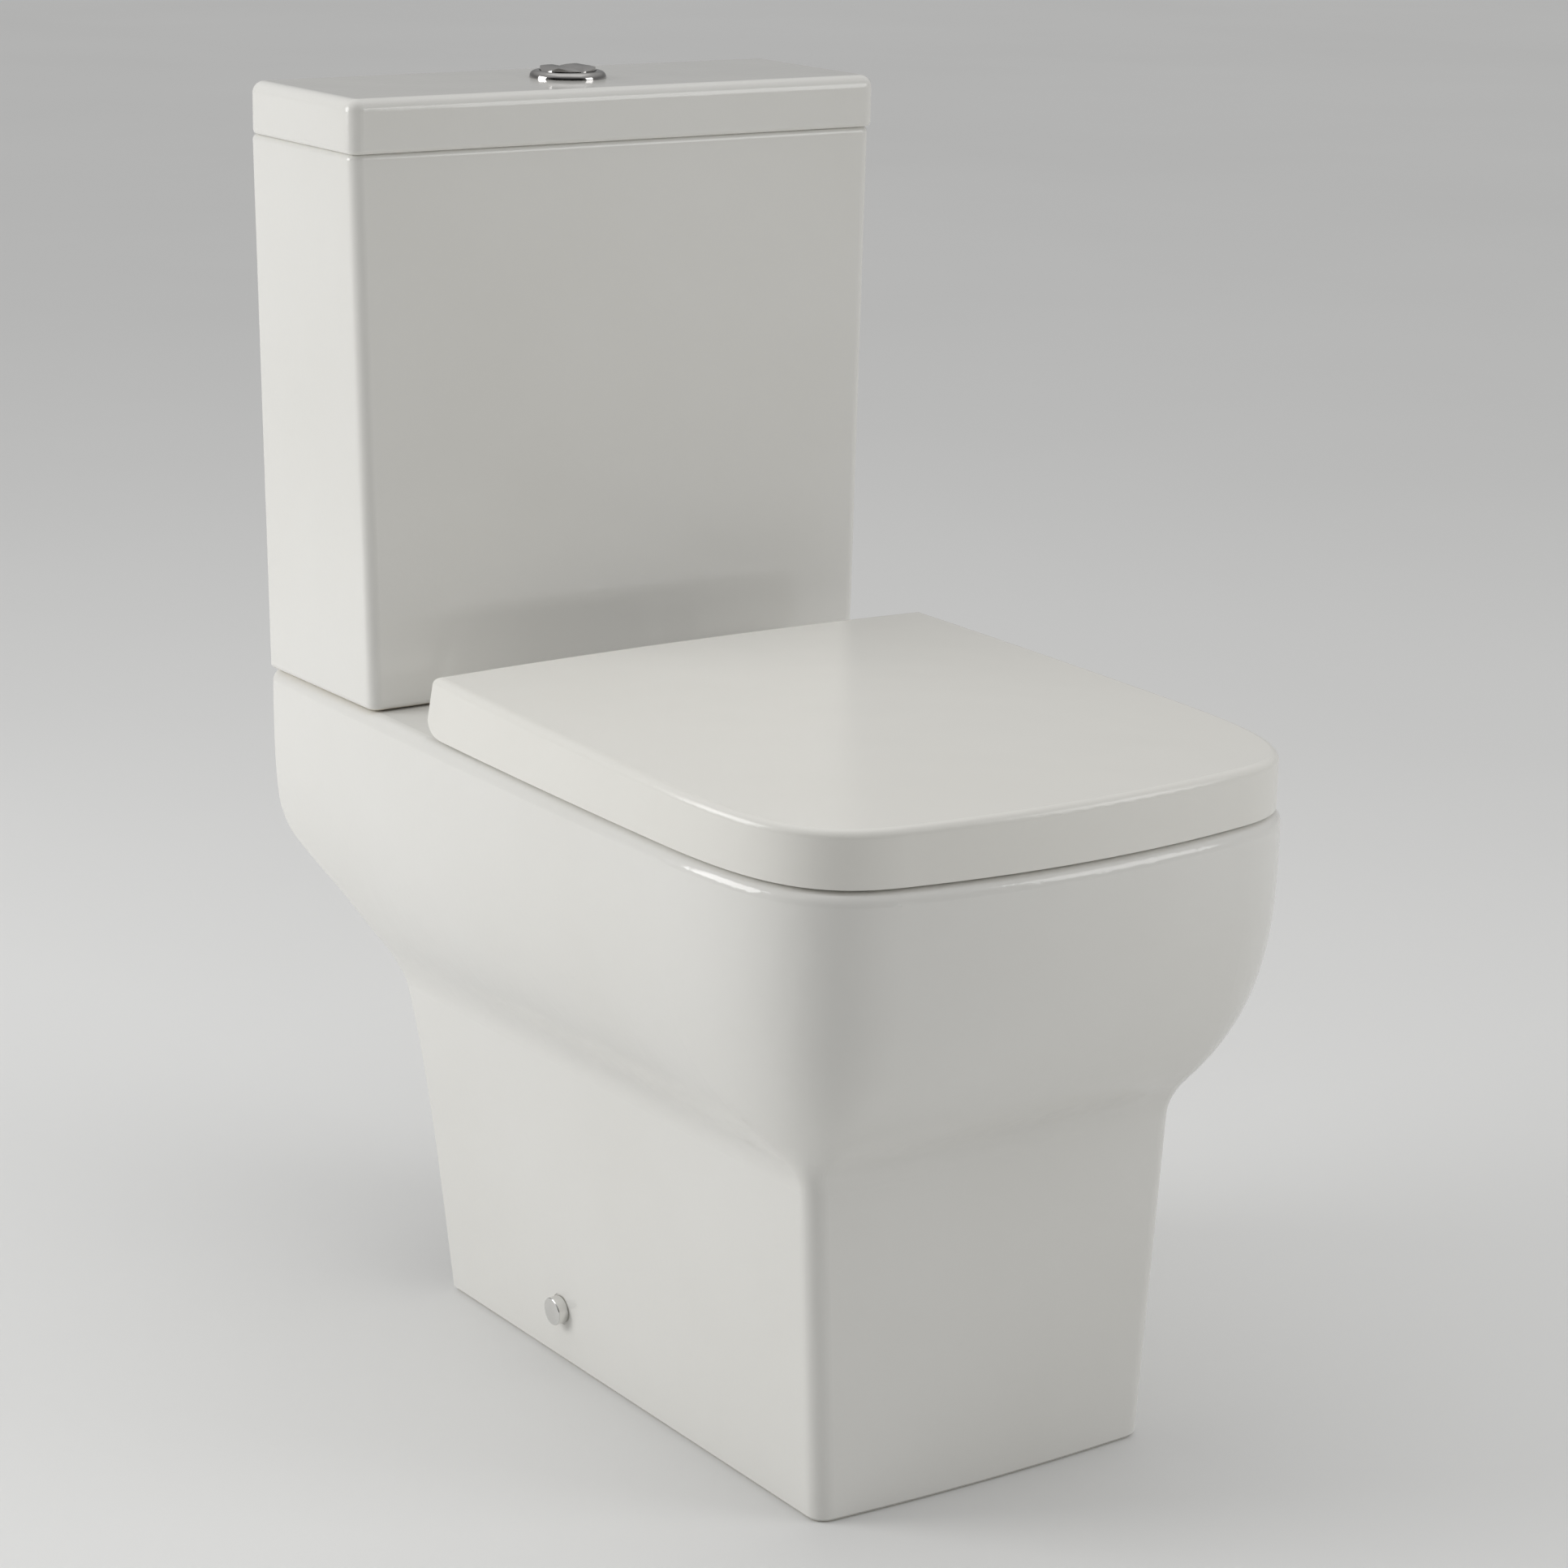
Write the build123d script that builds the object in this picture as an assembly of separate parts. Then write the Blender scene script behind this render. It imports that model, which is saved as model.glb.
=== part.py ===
from build123d import *
import math
import os

os.makedirs("parts", exist_ok=True)

# Close coupled toilet. Millimetres, Z up, X to the right, the wall at the back in +Y.
# The origin is on the floor, on the middle plane, halfway between the wall and the front of the pan.

# Pan outside
PAN_HEIGHT = 400.0
PAN_PROJECTION = 626.0
RIM_WIDTH = 378.0
DECK_NARROWING = 17.0
RIM_EDGE_RADIUS = 8.0
RIM_FRONT_BOW = 11.4
RIM_CORNER_LENGTH = 142.0
RIM_CORNER_WIDTH = 67.0
RIM_CORNER_PULL_SIDE = 0.645
RIM_CORNER_PULL_FRONT = 0.80
WAIST_HEIGHT = 218.5
WAIST_WIDTH = 265.0
WAIST_FRONT = 552.7
WAIST_SIDE_EASE = 15.0
WAIST_FRONT_EASE = 12.0
WAIST_STEPS = 8
BELLY_POWER = 3.2
BELLY_STEPS = 12
FOOT_WIDTH = 240.0
FOOT_FRONT = 550.0
FOOT_BACK = 128.0
FOOT_EDGE = 2.5
LEG_CORNER = 12.0
LEG_CORNER_PULL = 0.55
LEG_FRONT_BOW = 3.6
LEG_BACK_SPREAD = 9.0
LEG_BACK = 119.4
LEG_BACK_HEIGHT = 78.0
BEND_BACK = 115.5
BEND_HEIGHT = 237.0
BEND_SHARE = 0.51
SHOULDER_HEIGHT = 297.5
SHOULDER_RADIUS = 32.0

# Pan inside
CHINA = 11.0
DECK_THICKNESS = 14.0
BOWL_WIDTH = 270.0
BOWL_BACK = 269.0
BOWL_FRONT_RIM = 41.0
BOWL_CORNER = 100.0
SUMP_HEIGHT = 30.0
BOWL_POWER = 1.7
SUMP_WIDTH = 92.0
SUMP_LENGTH = 112.0
SUMP_CENTRE = 372.0
OUTLET_HEIGHT = 180.0
OUTLET_RADIUS = 51.0
OUTLET_BORE = 40.0
OUTLET_END = 70.0
TRAP_DIP = 112.0
TRAP_RISE = 16.0
TRAP_FRONT = 368.0
TRAP_LOW = 300.0
TRAP_CREST = 206.0
TRAP_BEND = 52.0
TRAP_RUN_OUT = 62.0
DUCT_RADIUS = 38.0
DUCT_BORE = 28.0
DUCT_DROP = 65.0
DUCT_ENTRY = 20.0

# Cistern and its lid
CISTERN_GAP = 1.0
CISTERN_HEIGHT = 344.0
CISTERN_SPREAD = 4.0
CISTERN_TAPER = 15.5
CISTERN_TOP_DEPTH = 132.0
CISTERN_BASE_DEPTH = 137.0
CISTERN_CORNER = 8.0
CISTERN_BACK_CORNER = 4.0
CISTERN_BACK_GRIND = 0.5
CISTERN_BASE_EDGE = 3.5
CISTERN_TOP_EDGE = 3.5
CISTERN_WALL = 9.5
CISTERN_FLOOR = 12.0
LID_HEIGHT = 33.0
LID_SIDE_OVERHANG = 1.5
LID_FRONT_OVERHANG = 2.0
LID_TOP_EDGE = 7.5
LID_BOTTOM_EDGE = 3.0
LID_CORNER = 8.5
LID_BACK_CORNER = 8.0
LID_TOP_THICKNESS = 12.0
LID_LIP_WALL = 7.0
LID_LIP_DEPTH = 7.0
LID_LIP_GAP = 2.0
WALL_SCREW_SPACING = 240.0
WALL_SCREW_HEIGHT = 300.0
WALL_SCREW_RADIUS = 4.0

# Coupling between cistern and pan
POCKET_RADIUS = 53.0
POCKET_DEPTH = 26.0
POCKET_WALL = 9.0
POCKET_FLOOR = 12.0
BOLT_SPACING = 184.0
BOLT_RADIUS = 4.0
BOLT_HEAD_RADIUS = 8.0
BOLT_HEAD_HEIGHT = 5.0
BOLT_RUBBER_RADIUS = 13.0
BOLT_RUBBER_HEIGHT = 4.0
BOLT_WASHER_RADIUS = 11.0
BOLT_WASHER_HEIGHT = 2.0
BOLT_TAIL = 10.0
WING_HUB_RADIUS = 8.0
WING_HUB_HEIGHT = 12.0
WING_SPAN = 34.0
WING_THICKNESS = 3.5
WING_HEIGHT = 14.0

# Fits
HOLE_GAP = 1.5
CUT_PAST = 5.0
FUSE_DEPTH = 1.0
THREAD_GAP = 0.1
RUN_GAP = 0.1
PIN_GAP = 0.05
REST_GAP = 0.3
SLIDE_GAP = 0.4

# Seat
LID_SEAT_SETBACK = 2.0
LID_SEAT_TAPER = 12.0
LID_SEAT_GAP = 1.5
LID_SEAT_COVER = 16.0
LID_SEAT_REAR_LEAN = 9.0
LID_SEAT_REAR_RISE = 10.0
LID_SEAT_REAR_TUCK = 2.0
LID_SEAT_REAR_CUT = 18.0
LID_SEAT_FALL = 6.5
LID_SEAT_CROWN = 2.6
LID_SEAT_CROWN_REACH = 1.1
LID_SEAT_EDGE = 5.0
LID_SEAT_THICKNESS = 5.0
RING_CLEARANCE = 3.0
RING_THICKNESS = 18.0
RING_SETBACK = 25.0
RING_EDGE = 6.0
RING_REAR_CORNER = 25.0
RING_LUG_INSET = 12.0
RING_LUG_RISE = 3.0
RING_OPENING_WIDTH = 224.0
RING_REAR_WIDTH = 36.0
RING_FRONT_WIDTH = 73.0
RING_OPENING_CORNER = 95.0
RING_BUFFER_HEIGHT = 5.0
RING_BUFFER_RADIUS = 9.0
RING_BUFFER_REAR = 310.0
RING_BUFFER_SETBACK = 121.0
LID_BUFFER_RADIUS = 8.0
LID_BUFFER_REAR = 330.0
LID_BUFFER_SETBACK = 101.0

# Seat hinges
HINGE_FROM_WALL = 220.0
HINGE_RISE = 27.0
HINGE_SPACING = 155.0
HINGE_BASE_RADIUS = 17.0
HINGE_BASE_HEIGHT = 3.0
HINGE_COLUMN_RADIUS = 7.0
HINGE_BARREL_RADIUS = 8.0
HINGE_BARREL_LENGTH = 24.0
HINGE_PIN_RADIUS = 4.0
HINGE_LUG_RADIUS = 8.5
HINGE_LUG_WIDTH = 12.0
HINGE_LUG_GAP = 0.6
HINGE_ROOM = 1.6
SEAT_BOLT_RADIUS = 4.0
SEAT_BOLT_LENGTH = 54.0
SEAT_BOLT_GRIP = 8.0
SEAT_HOLE_GAP = 3.0
SEAT_BUSH_RADIUS = 13.0
SEAT_BUSH_HEIGHT = 8.0

# Side fixing
FIXING_FROM_WALL = 266.0
FIXING_HEIGHT = 36.0
CAP_RADIUS = 9.0
CAP_LENGTH = 7.5
CAP_HOLLOW_RADIUS = 7.0
CAP_HOLLOW_DEPTH = 5.0
CAP_EDGE = 0.8
SPOT_MARGIN = 1.0
SPOT_DEPTH = 0.3
SIDE_SCREW_RADIUS = 2.9
SIDE_SCREW_HEAD = 5.5
SIDE_SCREW_HEAD_HEIGHT = 3.5
SIDE_SCREW_TAIL = 8.0
SIDE_HOLE_GAP = 0.6
BRACKET_WIDTH = 36.0
BRACKET_UPRIGHT = 8.0
BRACKET_HEIGHT = 45.0
BRACKET_BASE = 40.0
BRACKET_THICKNESS = 6.0
BRACKET_GAP = 0.5
FLOOR_HOLE_RADIUS = 3.6
FLOOR_HOLE_SETBACK = 18.0

# Flush button
BEZEL_RADIUS = 24.5
BEZEL_HEIGHT = 4.5
BEZEL_EDGE = 4.0
SHANK_RADIUS = 20.0
SHANK_WALL = 1.8
SHANK_LENGTH = 30.0
GUIDE_THICKNESS = 4.0
BUTTON_HOLE_GAP = 0.5
BUTTON_GAP = 0.5
BUTTON_CENTRE_GAP = 0.8
BUTTON_DOME = 3.5
BUTTON_SKIRT = 4.0
BUTTON_ACROSS_CURVE = 11.5
BUTTON_ALONG_CURVE = 50.0
BUTTON_ALONG_RISE = 0.3
STEM_OFFSET = 10.5
STEM_RADIUS = 4.0
STEM_TAIL = 4.0
NUT_RADIUS = 28.0
NUT_HEIGHT = 8.0
SPRING_RADIUS = 6.0
SPRING_WIRE = 0.5
SPRING_TURNS = 5.0
PUSH_ROD_RADIUS = 3.0

# Flush valve
BASE_FLANGE_RADIUS = 40.0
BASE_FLANGE_HEIGHT = 5.0
BASE_THREAD_RADIUS = 29.5
BASE_WALL = 4.0
BASE_WASHER_HEIGHT = 3.0
SEAT_LIP_RADIUS = 31.0
SEAT_LIP_HEIGHT = 4.0
BACK_NUT_RADIUS = 42.0
BACK_NUT_HEIGHT = 12.0
BASE_TAIL = 6.0
DOUGHNUT_GAP = 1.0
CAGE_LEDGE = 2.0
CAGE_WALL = 2.8
CAGE_HEIGHT = 209.0
WINDOW_WIDTH = 26.0
WINDOW_HEIGHT = 70.0
WINDOW_SILL = 8.0
HEAD_THICKNESS = 6.0
TUBE_RADIUS = 14.0
TUBE_WALL = 2.0
TUBE_TOP = 32.0
BELL_HEIGHT = 5.0
SEAL_HEIGHT = 2.0
SEAL_LAP = 1.5
PIVOT_RISE = 58.0
PIVOT_OFFSET = 20.0
PIVOT_PIN_RADIUS = 2.0
ROCKER_WIDTH = 6.0
ROCKER_THICKNESS = 6.0
ROCKER_INNER = 24.0
ROCKER_WALL_GAP = 2.5
LIFT_SETBACK = 4.0
LIFT_PAD_RADIUS = 3.0
FORK_THICKNESS = 4.0
FORK_DEPTH = 6.0
FORK_CAP = 4.0
ARM_WIDTH = 6.0
ARM_LAP = 5.0
ARM_SHIFT = 1.5
ARM_RISE = 14.0
ARM_PLATE = 5.5
HALF_FLOAT_OUTER_GAP = 2.2
HALF_FLOAT_INNER_GAP = 1.0
HALF_FLOAT_HEIGHT = 40.0
HALF_FLOAT_DROP = 30.0

# Fill valve
FILL_FROM_BOLT = 36.0
FILL_THREAD_RADIUS = 10.4
FILL_BORE = 6.0
FILL_TAIL = 49.0
FILL_TAIL_STEP = 0.2
FILL_FLANGE_RADIUS = 16.0
FILL_FLANGE_HEIGHT = 5.0
FILL_WASHER_HEIGHT = 3.0
FILL_NUT_FLATS = 30.0
FILL_NUT_HEIGHT = 12.0
FILL_NUT_ROOM = 4.7
FILL_COLUMN_RADIUS = 9.0
FILL_COLUMN_HEIGHT = 219.0
FILL_CAP_RADIUS = 16.0
FILL_CAP_HEIGHT = 24.0
FILL_FLOAT_RADIUS = 28.0
FILL_FLOAT_GAP = 1.5
FILL_FLOAT_EDGE = 3.0
FILL_FLOAT_HEIGHT = 40.0
FILL_FLOAT_DROP = 30.0
FILL_ROD_RADIUS = 2.0
FILL_ROD_INSET = 3.0
FILL_ROD_TOP = 4.0
FILL_COLLAR_RADIUS = 4.0
FILL_COLLAR_HEIGHT = 3.0
LEVER_PIVOT_OFFSET = 11.0
LEVER_PIVOT_RISE = 8.0
LEVER_WIDTH = 10.0
LEVER_THICKNESS = 4.0
LEVER_TAIL = 4.0
LEVER_NOSE = 5.0
LEVER_SLOT_GAP = 0.5
LEVER_SLOT_LENGTH = 11.0
LEVER_PIN_RADIUS = 1.5

# Widths and places worked out from the sizes above
BOWL_LENGTH = PAN_PROJECTION - BOWL_FRONT_RIM - BOWL_BACK
BOWL_CENTRE = BOWL_BACK + BOWL_LENGTH / 2
DECK_WIDTH = RIM_WIDTH - DECK_NARROWING
CISTERN_TOP_WIDTH = RIM_WIDTH + CISTERN_SPREAD
CISTERN_BASE_WIDTH = CISTERN_TOP_WIDTH - CISTERN_TAPER
VALVE_FROM_WALL = CISTERN_TOP_DEPTH / 2
LID_WIDTH = CISTERN_TOP_WIDTH + 2 * LID_SIDE_OVERHANG
LID_DEPTH = CISTERN_TOP_DEPTH + LID_FRONT_OVERHANG
BOLT_HOLE_RADIUS = BOLT_RADIUS + HOLE_GAP
BASE_BORE = BASE_THREAD_RADIUS - BASE_WALL
BASE_HOLE_RADIUS = BASE_THREAD_RADIUS + HOLE_GAP
CAGE_RADIUS = BASE_FLANGE_RADIUS - CAGE_LEDGE
TUBE_BORE = TUBE_RADIUS - TUBE_WALL
ROCKER_OUTER = VALVE_FROM_WALL - CISTERN_WALL - PIVOT_OFFSET - ROCKER_WALL_GAP
LIFT_PLACE = ROCKER_OUTER - LIFT_SETBACK
HALF_FLOAT_RADIUS = CAGE_RADIUS - CAGE_WALL - HALF_FLOAT_OUTER_GAP
HALF_FLOAT_BORE = TUBE_RADIUS + HALF_FLOAT_INNER_GAP
ARM_REACH = HALF_FLOAT_RADIUS - ARM_LAP
SHANK_BORE = SHANK_RADIUS - SHANK_WALL
FILL_OFFSET = BOLT_SPACING / 2 + FILL_FROM_BOLT
FILL_HOLE_RADIUS = FILL_THREAD_RADIUS + HOLE_GAP
FILL_DECK_HOLE = FILL_NUT_FLATS / math.sqrt(3) + FILL_NUT_ROOM
FILL_ROD_OFFSET = FILL_FLOAT_RADIUS - FILL_ROD_INSET
SEAT_HOLE_RADIUS = SEAT_BOLT_RADIUS + SEAT_HOLE_GAP
LID_SEAT_WIDTH = RIM_WIDTH - 2 * LID_SEAT_SETBACK
LID_SEAT_REAR_WIDTH = LID_SEAT_WIDTH - LID_SEAT_TAPER
LID_SEAT_REAR = HINGE_FROM_WALL - LID_SEAT_COVER
LID_SEAT_REAR_TOP = LID_SEAT_REAR + LID_SEAT_REAR_LEAN
LID_SEAT_REAR_HEIGHT = HINGE_RISE + HINGE_BARREL_RADIUS + HINGE_LUG_GAP + LID_SEAT_THICKNESS + HINGE_ROOM
LID_SEAT_FRONT_HEIGHT = LID_SEAT_REAR_HEIGHT - LID_SEAT_FALL
RING_INSET = LID_SEAT_THICKNESS + RING_CLEARANCE
RING_REAR = HINGE_FROM_WALL + RING_SETBACK
RING_FRONT = PAN_PROJECTION - LID_SEAT_SETBACK - RING_INSET
RING_OPENING_BACK = RING_REAR + RING_REAR_WIDTH
RING_OPENING_LENGTH = RING_FRONT - RING_FRONT_WIDTH - RING_OPENING_BACK
RING_OPENING_CENTRE = RING_OPENING_BACK + RING_OPENING_LENGTH / 2
RING_BUFFER_FRONT = PAN_PROJECTION - RING_BUFFER_SETBACK
LID_BUFFER_FRONT = PAN_PROJECTION - LID_BUFFER_SETBACK
RING_BUFFER_X = (BOWL_WIDTH / 2 + RIM_WIDTH / 2 - RIM_EDGE_RADIUS) / 2
LID_BUFFER_X = (RING_OPENING_WIDTH / 2 + LID_SEAT_WIDTH / 2 - RING_INSET - RING_EDGE) / 2
SIDE_HOLE_RADIUS = SIDE_SCREW_RADIUS + SIDE_HOLE_GAP
SIDE_SCREW_LENGTH = CHINA + BRACKET_UPRIGHT + SIDE_SCREW_TAIL

# Heights worked out from the sizes above
DECK = PAN_HEIGHT
RIM_HEIGHT = PAN_HEIGHT - RIM_EDGE_RADIUS
DECK_UNDER = PAN_HEIGHT - DECK_THICKNESS
CISTERN_BASE = DECK + CISTERN_GAP
CISTERN_INSIDE = CISTERN_BASE + CISTERN_FLOOR
CISTERN_TOP = CISTERN_BASE + CISTERN_HEIGHT
LID_TOP = CISTERN_TOP + LID_HEIGHT
LID_UNDER = LID_TOP - LID_TOP_THICKNESS
HINGE_HEIGHT = DECK + HINGE_RISE
RING_BOTTOM = DECK + RING_BUFFER_HEIGHT
RING_TOP = RING_BOTTOM + RING_THICKNESS
BASE_FLANGE_BOTTOM = CISTERN_INSIDE + BASE_WASHER_HEIGHT
BASE_FLANGE_TOP = BASE_FLANGE_BOTTOM + BASE_FLANGE_HEIGHT
SEAT_LIP_TOP = BASE_FLANGE_TOP + SEAT_LIP_HEIGHT
HEAD_BOTTOM = BASE_FLANGE_TOP + CAGE_HEIGHT
HEAD_TOP = HEAD_BOTTOM + HEAD_THICKNESS
PIVOT_HEIGHT = HEAD_BOTTOM + PIVOT_RISE
ROCKER_TOP = PIVOT_HEIGHT + ROCKER_THICKNESS / 2
GUIDE_BOTTOM = LID_TOP - SHANK_LENGTH
GUIDE_TOP = GUIDE_BOTTOM + GUIDE_THICKNESS
BEZEL_TOP = LID_TOP + BEZEL_HEIGHT
BUTTON_BOTTOM = LID_TOP - BUTTON_SKIRT
STEM_BOTTOM = GUIDE_BOTTOM - STEM_TAIL
FILL_FLANGE_BOTTOM = CISTERN_INSIDE + FILL_WASHER_HEIGHT
FILL_FLANGE_TOP = FILL_FLANGE_BOTTOM + FILL_FLANGE_HEIGHT
FILL_CAP_BOTTOM = FILL_FLANGE_TOP + FILL_COLUMN_HEIGHT
FILL_CAP_TOP = FILL_CAP_BOTTOM + FILL_CAP_HEIGHT
LEVER_HEIGHT = FILL_CAP_TOP + LEVER_PIVOT_RISE


def wall_y(distance):
    """Y of a place at a distance in front of the wall."""
    return PAN_PROJECTION / 2 - distance


def mix(start, end, share):
    """Value part of the way from one size to another."""
    return start + (end - start) * share


def upright(radius, bottom, top, x=0.0, y=0.0):
    """Standing cylinder between two heights."""
    return Pos(x, y, (bottom + top) / 2) * Cylinder(radius, top - bottom)


def pipe(outer, inner, bottom, top, x=0.0, y=0.0):
    """Standing tube between two heights."""
    return upright(outer, bottom, top, x, y) - upright(inner, bottom - CUT_PAST, top + CUT_PAST, x, y)


def bar_x(radius, start, end, y, z):
    """Lying cylinder along X."""
    return Pos((start + end) / 2, y, z) * Rot(0, 90, 0) * Cylinder(radius, end - start)


def bar_y(radius, start, end, x, z):
    """Lying cylinder along Y."""
    return Pos(x, (start + end) / 2, z) * Rot(90, 0, 0) * Cylinder(radius, end - start)


def block(x_start, x_end, y_start, y_end, bottom, top):
    """Box between two limits on each axis."""
    place = Pos((x_start + x_end) / 2, (y_start + y_end) / 2, (bottom + top) / 2)
    return place * Box(x_end - x_start, y_end - y_start, top - bottom)


def both_sides(piece):
    """A piece and its mirror image across the middle plane, as separate solids."""
    return Compound(children=[piece.solid(), mirror(piece, Plane.YZ).solid()])


VALVE_Y = wall_y(VALVE_FROM_WALL)
HINGE_Y = wall_y(HINGE_FROM_WALL)
FIXING_Y = wall_y(FIXING_FROM_WALL)


def fixing_place(piece):
    """A piece made along X at the origin, set square on the leaning side of the leg."""
    lean = math.degrees(math.atan((WAIST_WIDTH - FOOT_WIDTH) / 2 / WAIST_HEIGHT))
    return Pos(leg_half(FIXING_HEIGHT), FIXING_Y, FIXING_HEIGHT) * Rot(0, lean, 0) * piece


def corner_plate(width, depth, front_corner, back_corner):
    """Rectangle with its own roundings at the front and at the back."""
    plate = Rectangle(width, depth)
    plate = fillet(plate.vertices().group_by(Axis.Y)[0], front_corner)
    return fillet(plate.vertices().group_by(Axis.Y)[-1], back_corner)


# Outlines
def plan_outline(
    z, half_back, half_wide, back, front, bow, corner_length, corner_width, pull_side, pull_front
):
    """Closed outline at one height: straight back, bowed sides, swept corners and a bowed front."""
    y_back = wall_y(back)
    y_end = wall_y(front) + bow
    y_start = y_end + corner_length
    x_end = half_wide - corner_width
    slope = 2 * bow / x_end
    reach = pull_front * corner_width
    edges = [Line((-half_back, y_back, z), (half_back, y_back, z))]
    for side in (1, -1):
        flank = [(half_back, y_back), (half_wide, (y_back + y_start) / 2), (half_wide, y_start)]
        corner = [
            (half_wide, y_start),
            (half_wide, y_start - pull_side * corner_length),
            (x_end + reach, y_end + reach * slope),
            (x_end, y_end),
        ]
        edges.append(Bezier(*[(side * x, y, z) for x, y in flank]))
        edges.append(Bezier(*[(side * x, y, z) for x, y in corner]))
    nose = [(x_end, y_end, z), (0, y_end - 2 * bow, z), (-x_end, y_end, z)]
    edges.append(Bezier(*nose))
    order = [edges[0], edges[1], edges[2], edges[5], edges[4], edges[3]]
    return Wire(order)


def leg_half(z):
    """Half the width of the leg at one height."""
    return mix(FOOT_WIDTH, WAIST_WIDTH, min(z / WAIST_HEIGHT, 1)) / 2


def belly_share(z, ease):
    """Share of the way from the leg outline to the rim outline at one height, eased in at the waist."""
    start = WAIST_HEIGHT - ease
    end = WAIST_HEIGHT + ease
    rest = 1 - (max(z, end) - WAIST_HEIGHT) / (RIM_HEIGHT - WAIST_HEIGHT)
    rest = max(rest, 0)
    share = 1 - rest**BELLY_POWER
    if z >= end:
        return share
    slope = 2 * ease * BELLY_POWER * rest ** (BELLY_POWER - 1) / (RIM_HEIGHT - WAIST_HEIGHT)
    part = max((z - start) / (end - start), 0)
    return part**2 * (3 - 2 * part) * share + part**2 * (part - 1) * slope


def pan_outline(z, inset, back):
    """Outline of the pan at one height, set in by a wall."""
    side = belly_share(z, WAIST_SIDE_EASE)
    front = belly_share(z, WAIST_FRONT_EASE)
    half_leg = leg_half(z)
    front_leg = mix(FOOT_FRONT, WAIST_FRONT, min(z / WAIST_HEIGHT, 1))
    return plan_outline(
        z,
        mix(half_leg + LEG_BACK_SPREAD * min(z / WAIST_HEIGHT, 1), DECK_WIDTH / 2, side) - inset,
        mix(half_leg, RIM_WIDTH / 2, side) - inset,
        back,
        mix(front_leg, PAN_PROJECTION, front) - inset,
        mix(LEG_FRONT_BOW, RIM_FRONT_BOW, front),
        mix(LEG_CORNER, RIM_CORNER_LENGTH, front) - inset,
        mix(LEG_CORNER, RIM_CORNER_WIDTH, front) - inset,
        mix(LEG_CORNER_PULL, RIM_CORNER_PULL_SIDE, front),
        mix(LEG_CORNER_PULL, RIM_CORNER_PULL_FRONT, front),
    )


def pan_form(inset, back, bottom, top):
    """Pan block set in by a wall: straight leg below, then a waist that eases into the swelling belly."""
    edge = max(FOOT_EDGE - inset, 0)
    low = WAIST_HEIGHT - WAIST_SIDE_EASE
    high = WAIST_HEIGHT + WAIST_SIDE_EASE
    leg = [pan_outline(bottom, inset + edge, back), pan_outline(bottom + FOOT_EDGE, inset, back)]
    leg.append(pan_outline(low, inset, back))
    heights = [mix(low, high, step / WAIST_STEPS) for step in range(WAIST_STEPS)]
    heights += [mix(high, top, step / BELLY_STEPS) for step in range(BELLY_STEPS + 1)]
    belly = Solid.make_loft([pan_outline(z, inset, back) for z in heights])
    return Part() + Solid.make_loft(leg, ruled=True) + belly


def bowl_form(wall):
    """Bowl from the rim down to the sump, swelled by a wall."""
    outlines = []
    for depth in (0, 0.2, 0.4, 0.6, 0.8, 1):
        share = depth**BOWL_POWER
        width = mix(BOWL_WIDTH, SUMP_WIDTH, share) + 2 * wall
        length = mix(BOWL_LENGTH, SUMP_LENGTH, share) + 2 * wall
        corner = mix(BOWL_CORNER, SUMP_WIDTH / 2 - 2, share) + wall
        centre = wall_y(mix(BOWL_CENTRE, SUMP_CENTRE, share))
        height = mix(DECK, SUMP_HEIGHT - wall, depth)
        outlines.append(Pos(0, centre, height) * RectangleRounded(width, length, corner))
    return loft(outlines)


def trap_form(radius, reach):
    """Trap from the sump over the crest to the outlet, as a round bar."""
    low = OUTLET_HEIGHT - TRAP_DIP
    route = FilletPolyline(
        (0, wall_y(TRAP_FRONT), low),
        (0, wall_y(TRAP_LOW), low),
        (0, wall_y(TRAP_CREST), OUTLET_HEIGHT + TRAP_RISE),
        (0, wall_y(OUTLET_END + TRAP_RUN_OUT), OUTLET_HEIGHT),
        (0, wall_y(OUTLET_END - reach), OUTLET_HEIGHT),
        radius=TRAP_BEND,
    )
    return sweep(Plane(route @ 0, z_dir=route % 0) * Circle(radius), path=route)


def duct_form(radius, top):
    """Flush duct from the pocket under the cistern, round an elbow and forward into the back of the bowl."""
    level = DECK - DUCT_DROP
    bowl_back = wall_y(BOWL_CENTRE - BOWL_LENGTH / 2 + DUCT_ENTRY)
    duct = upright(radius, level, top, 0, VALVE_Y)
    duct = duct + bar_y(radius, bowl_back, VALVE_Y, 0, level)
    return duct + Pos(0, VALVE_Y, level) * Sphere(radius)


# Pan
def back_space():
    """Side view of the space behind the pan: up the leg, along the sloping shoulder and up the wall."""
    behind = wall_y(-2 * CUT_PAST)
    slope_start = (wall_y(mix(BEND_BACK, 0, BEND_SHARE)), mix(BEND_HEIGHT, SHOULDER_HEIGHT, BEND_SHARE))
    shoulder = (wall_y(0), SHOULDER_HEIGHT)
    foot = (wall_y(FOOT_BACK), 0)
    leg = Bezier(foot, (wall_y(LEG_BACK), LEG_BACK_HEIGHT), (wall_y(BEND_BACK), BEND_HEIGHT), slope_start)
    slope = Line(slope_start, shoulder)
    rest = Polyline(
        shoulder,
        (wall_y(0), DECK + CUT_PAST),
        (behind, DECK + CUT_PAST),
        (behind, -CUT_PAST),
        (wall_y(FOOT_BACK), -CUT_PAST),
        foot,
    )
    space = make_face([leg, slope, rest])
    return fillet(space.vertices().sort_by_distance((*shoulder, 0))[0], SHOULDER_RADIUS)


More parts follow.
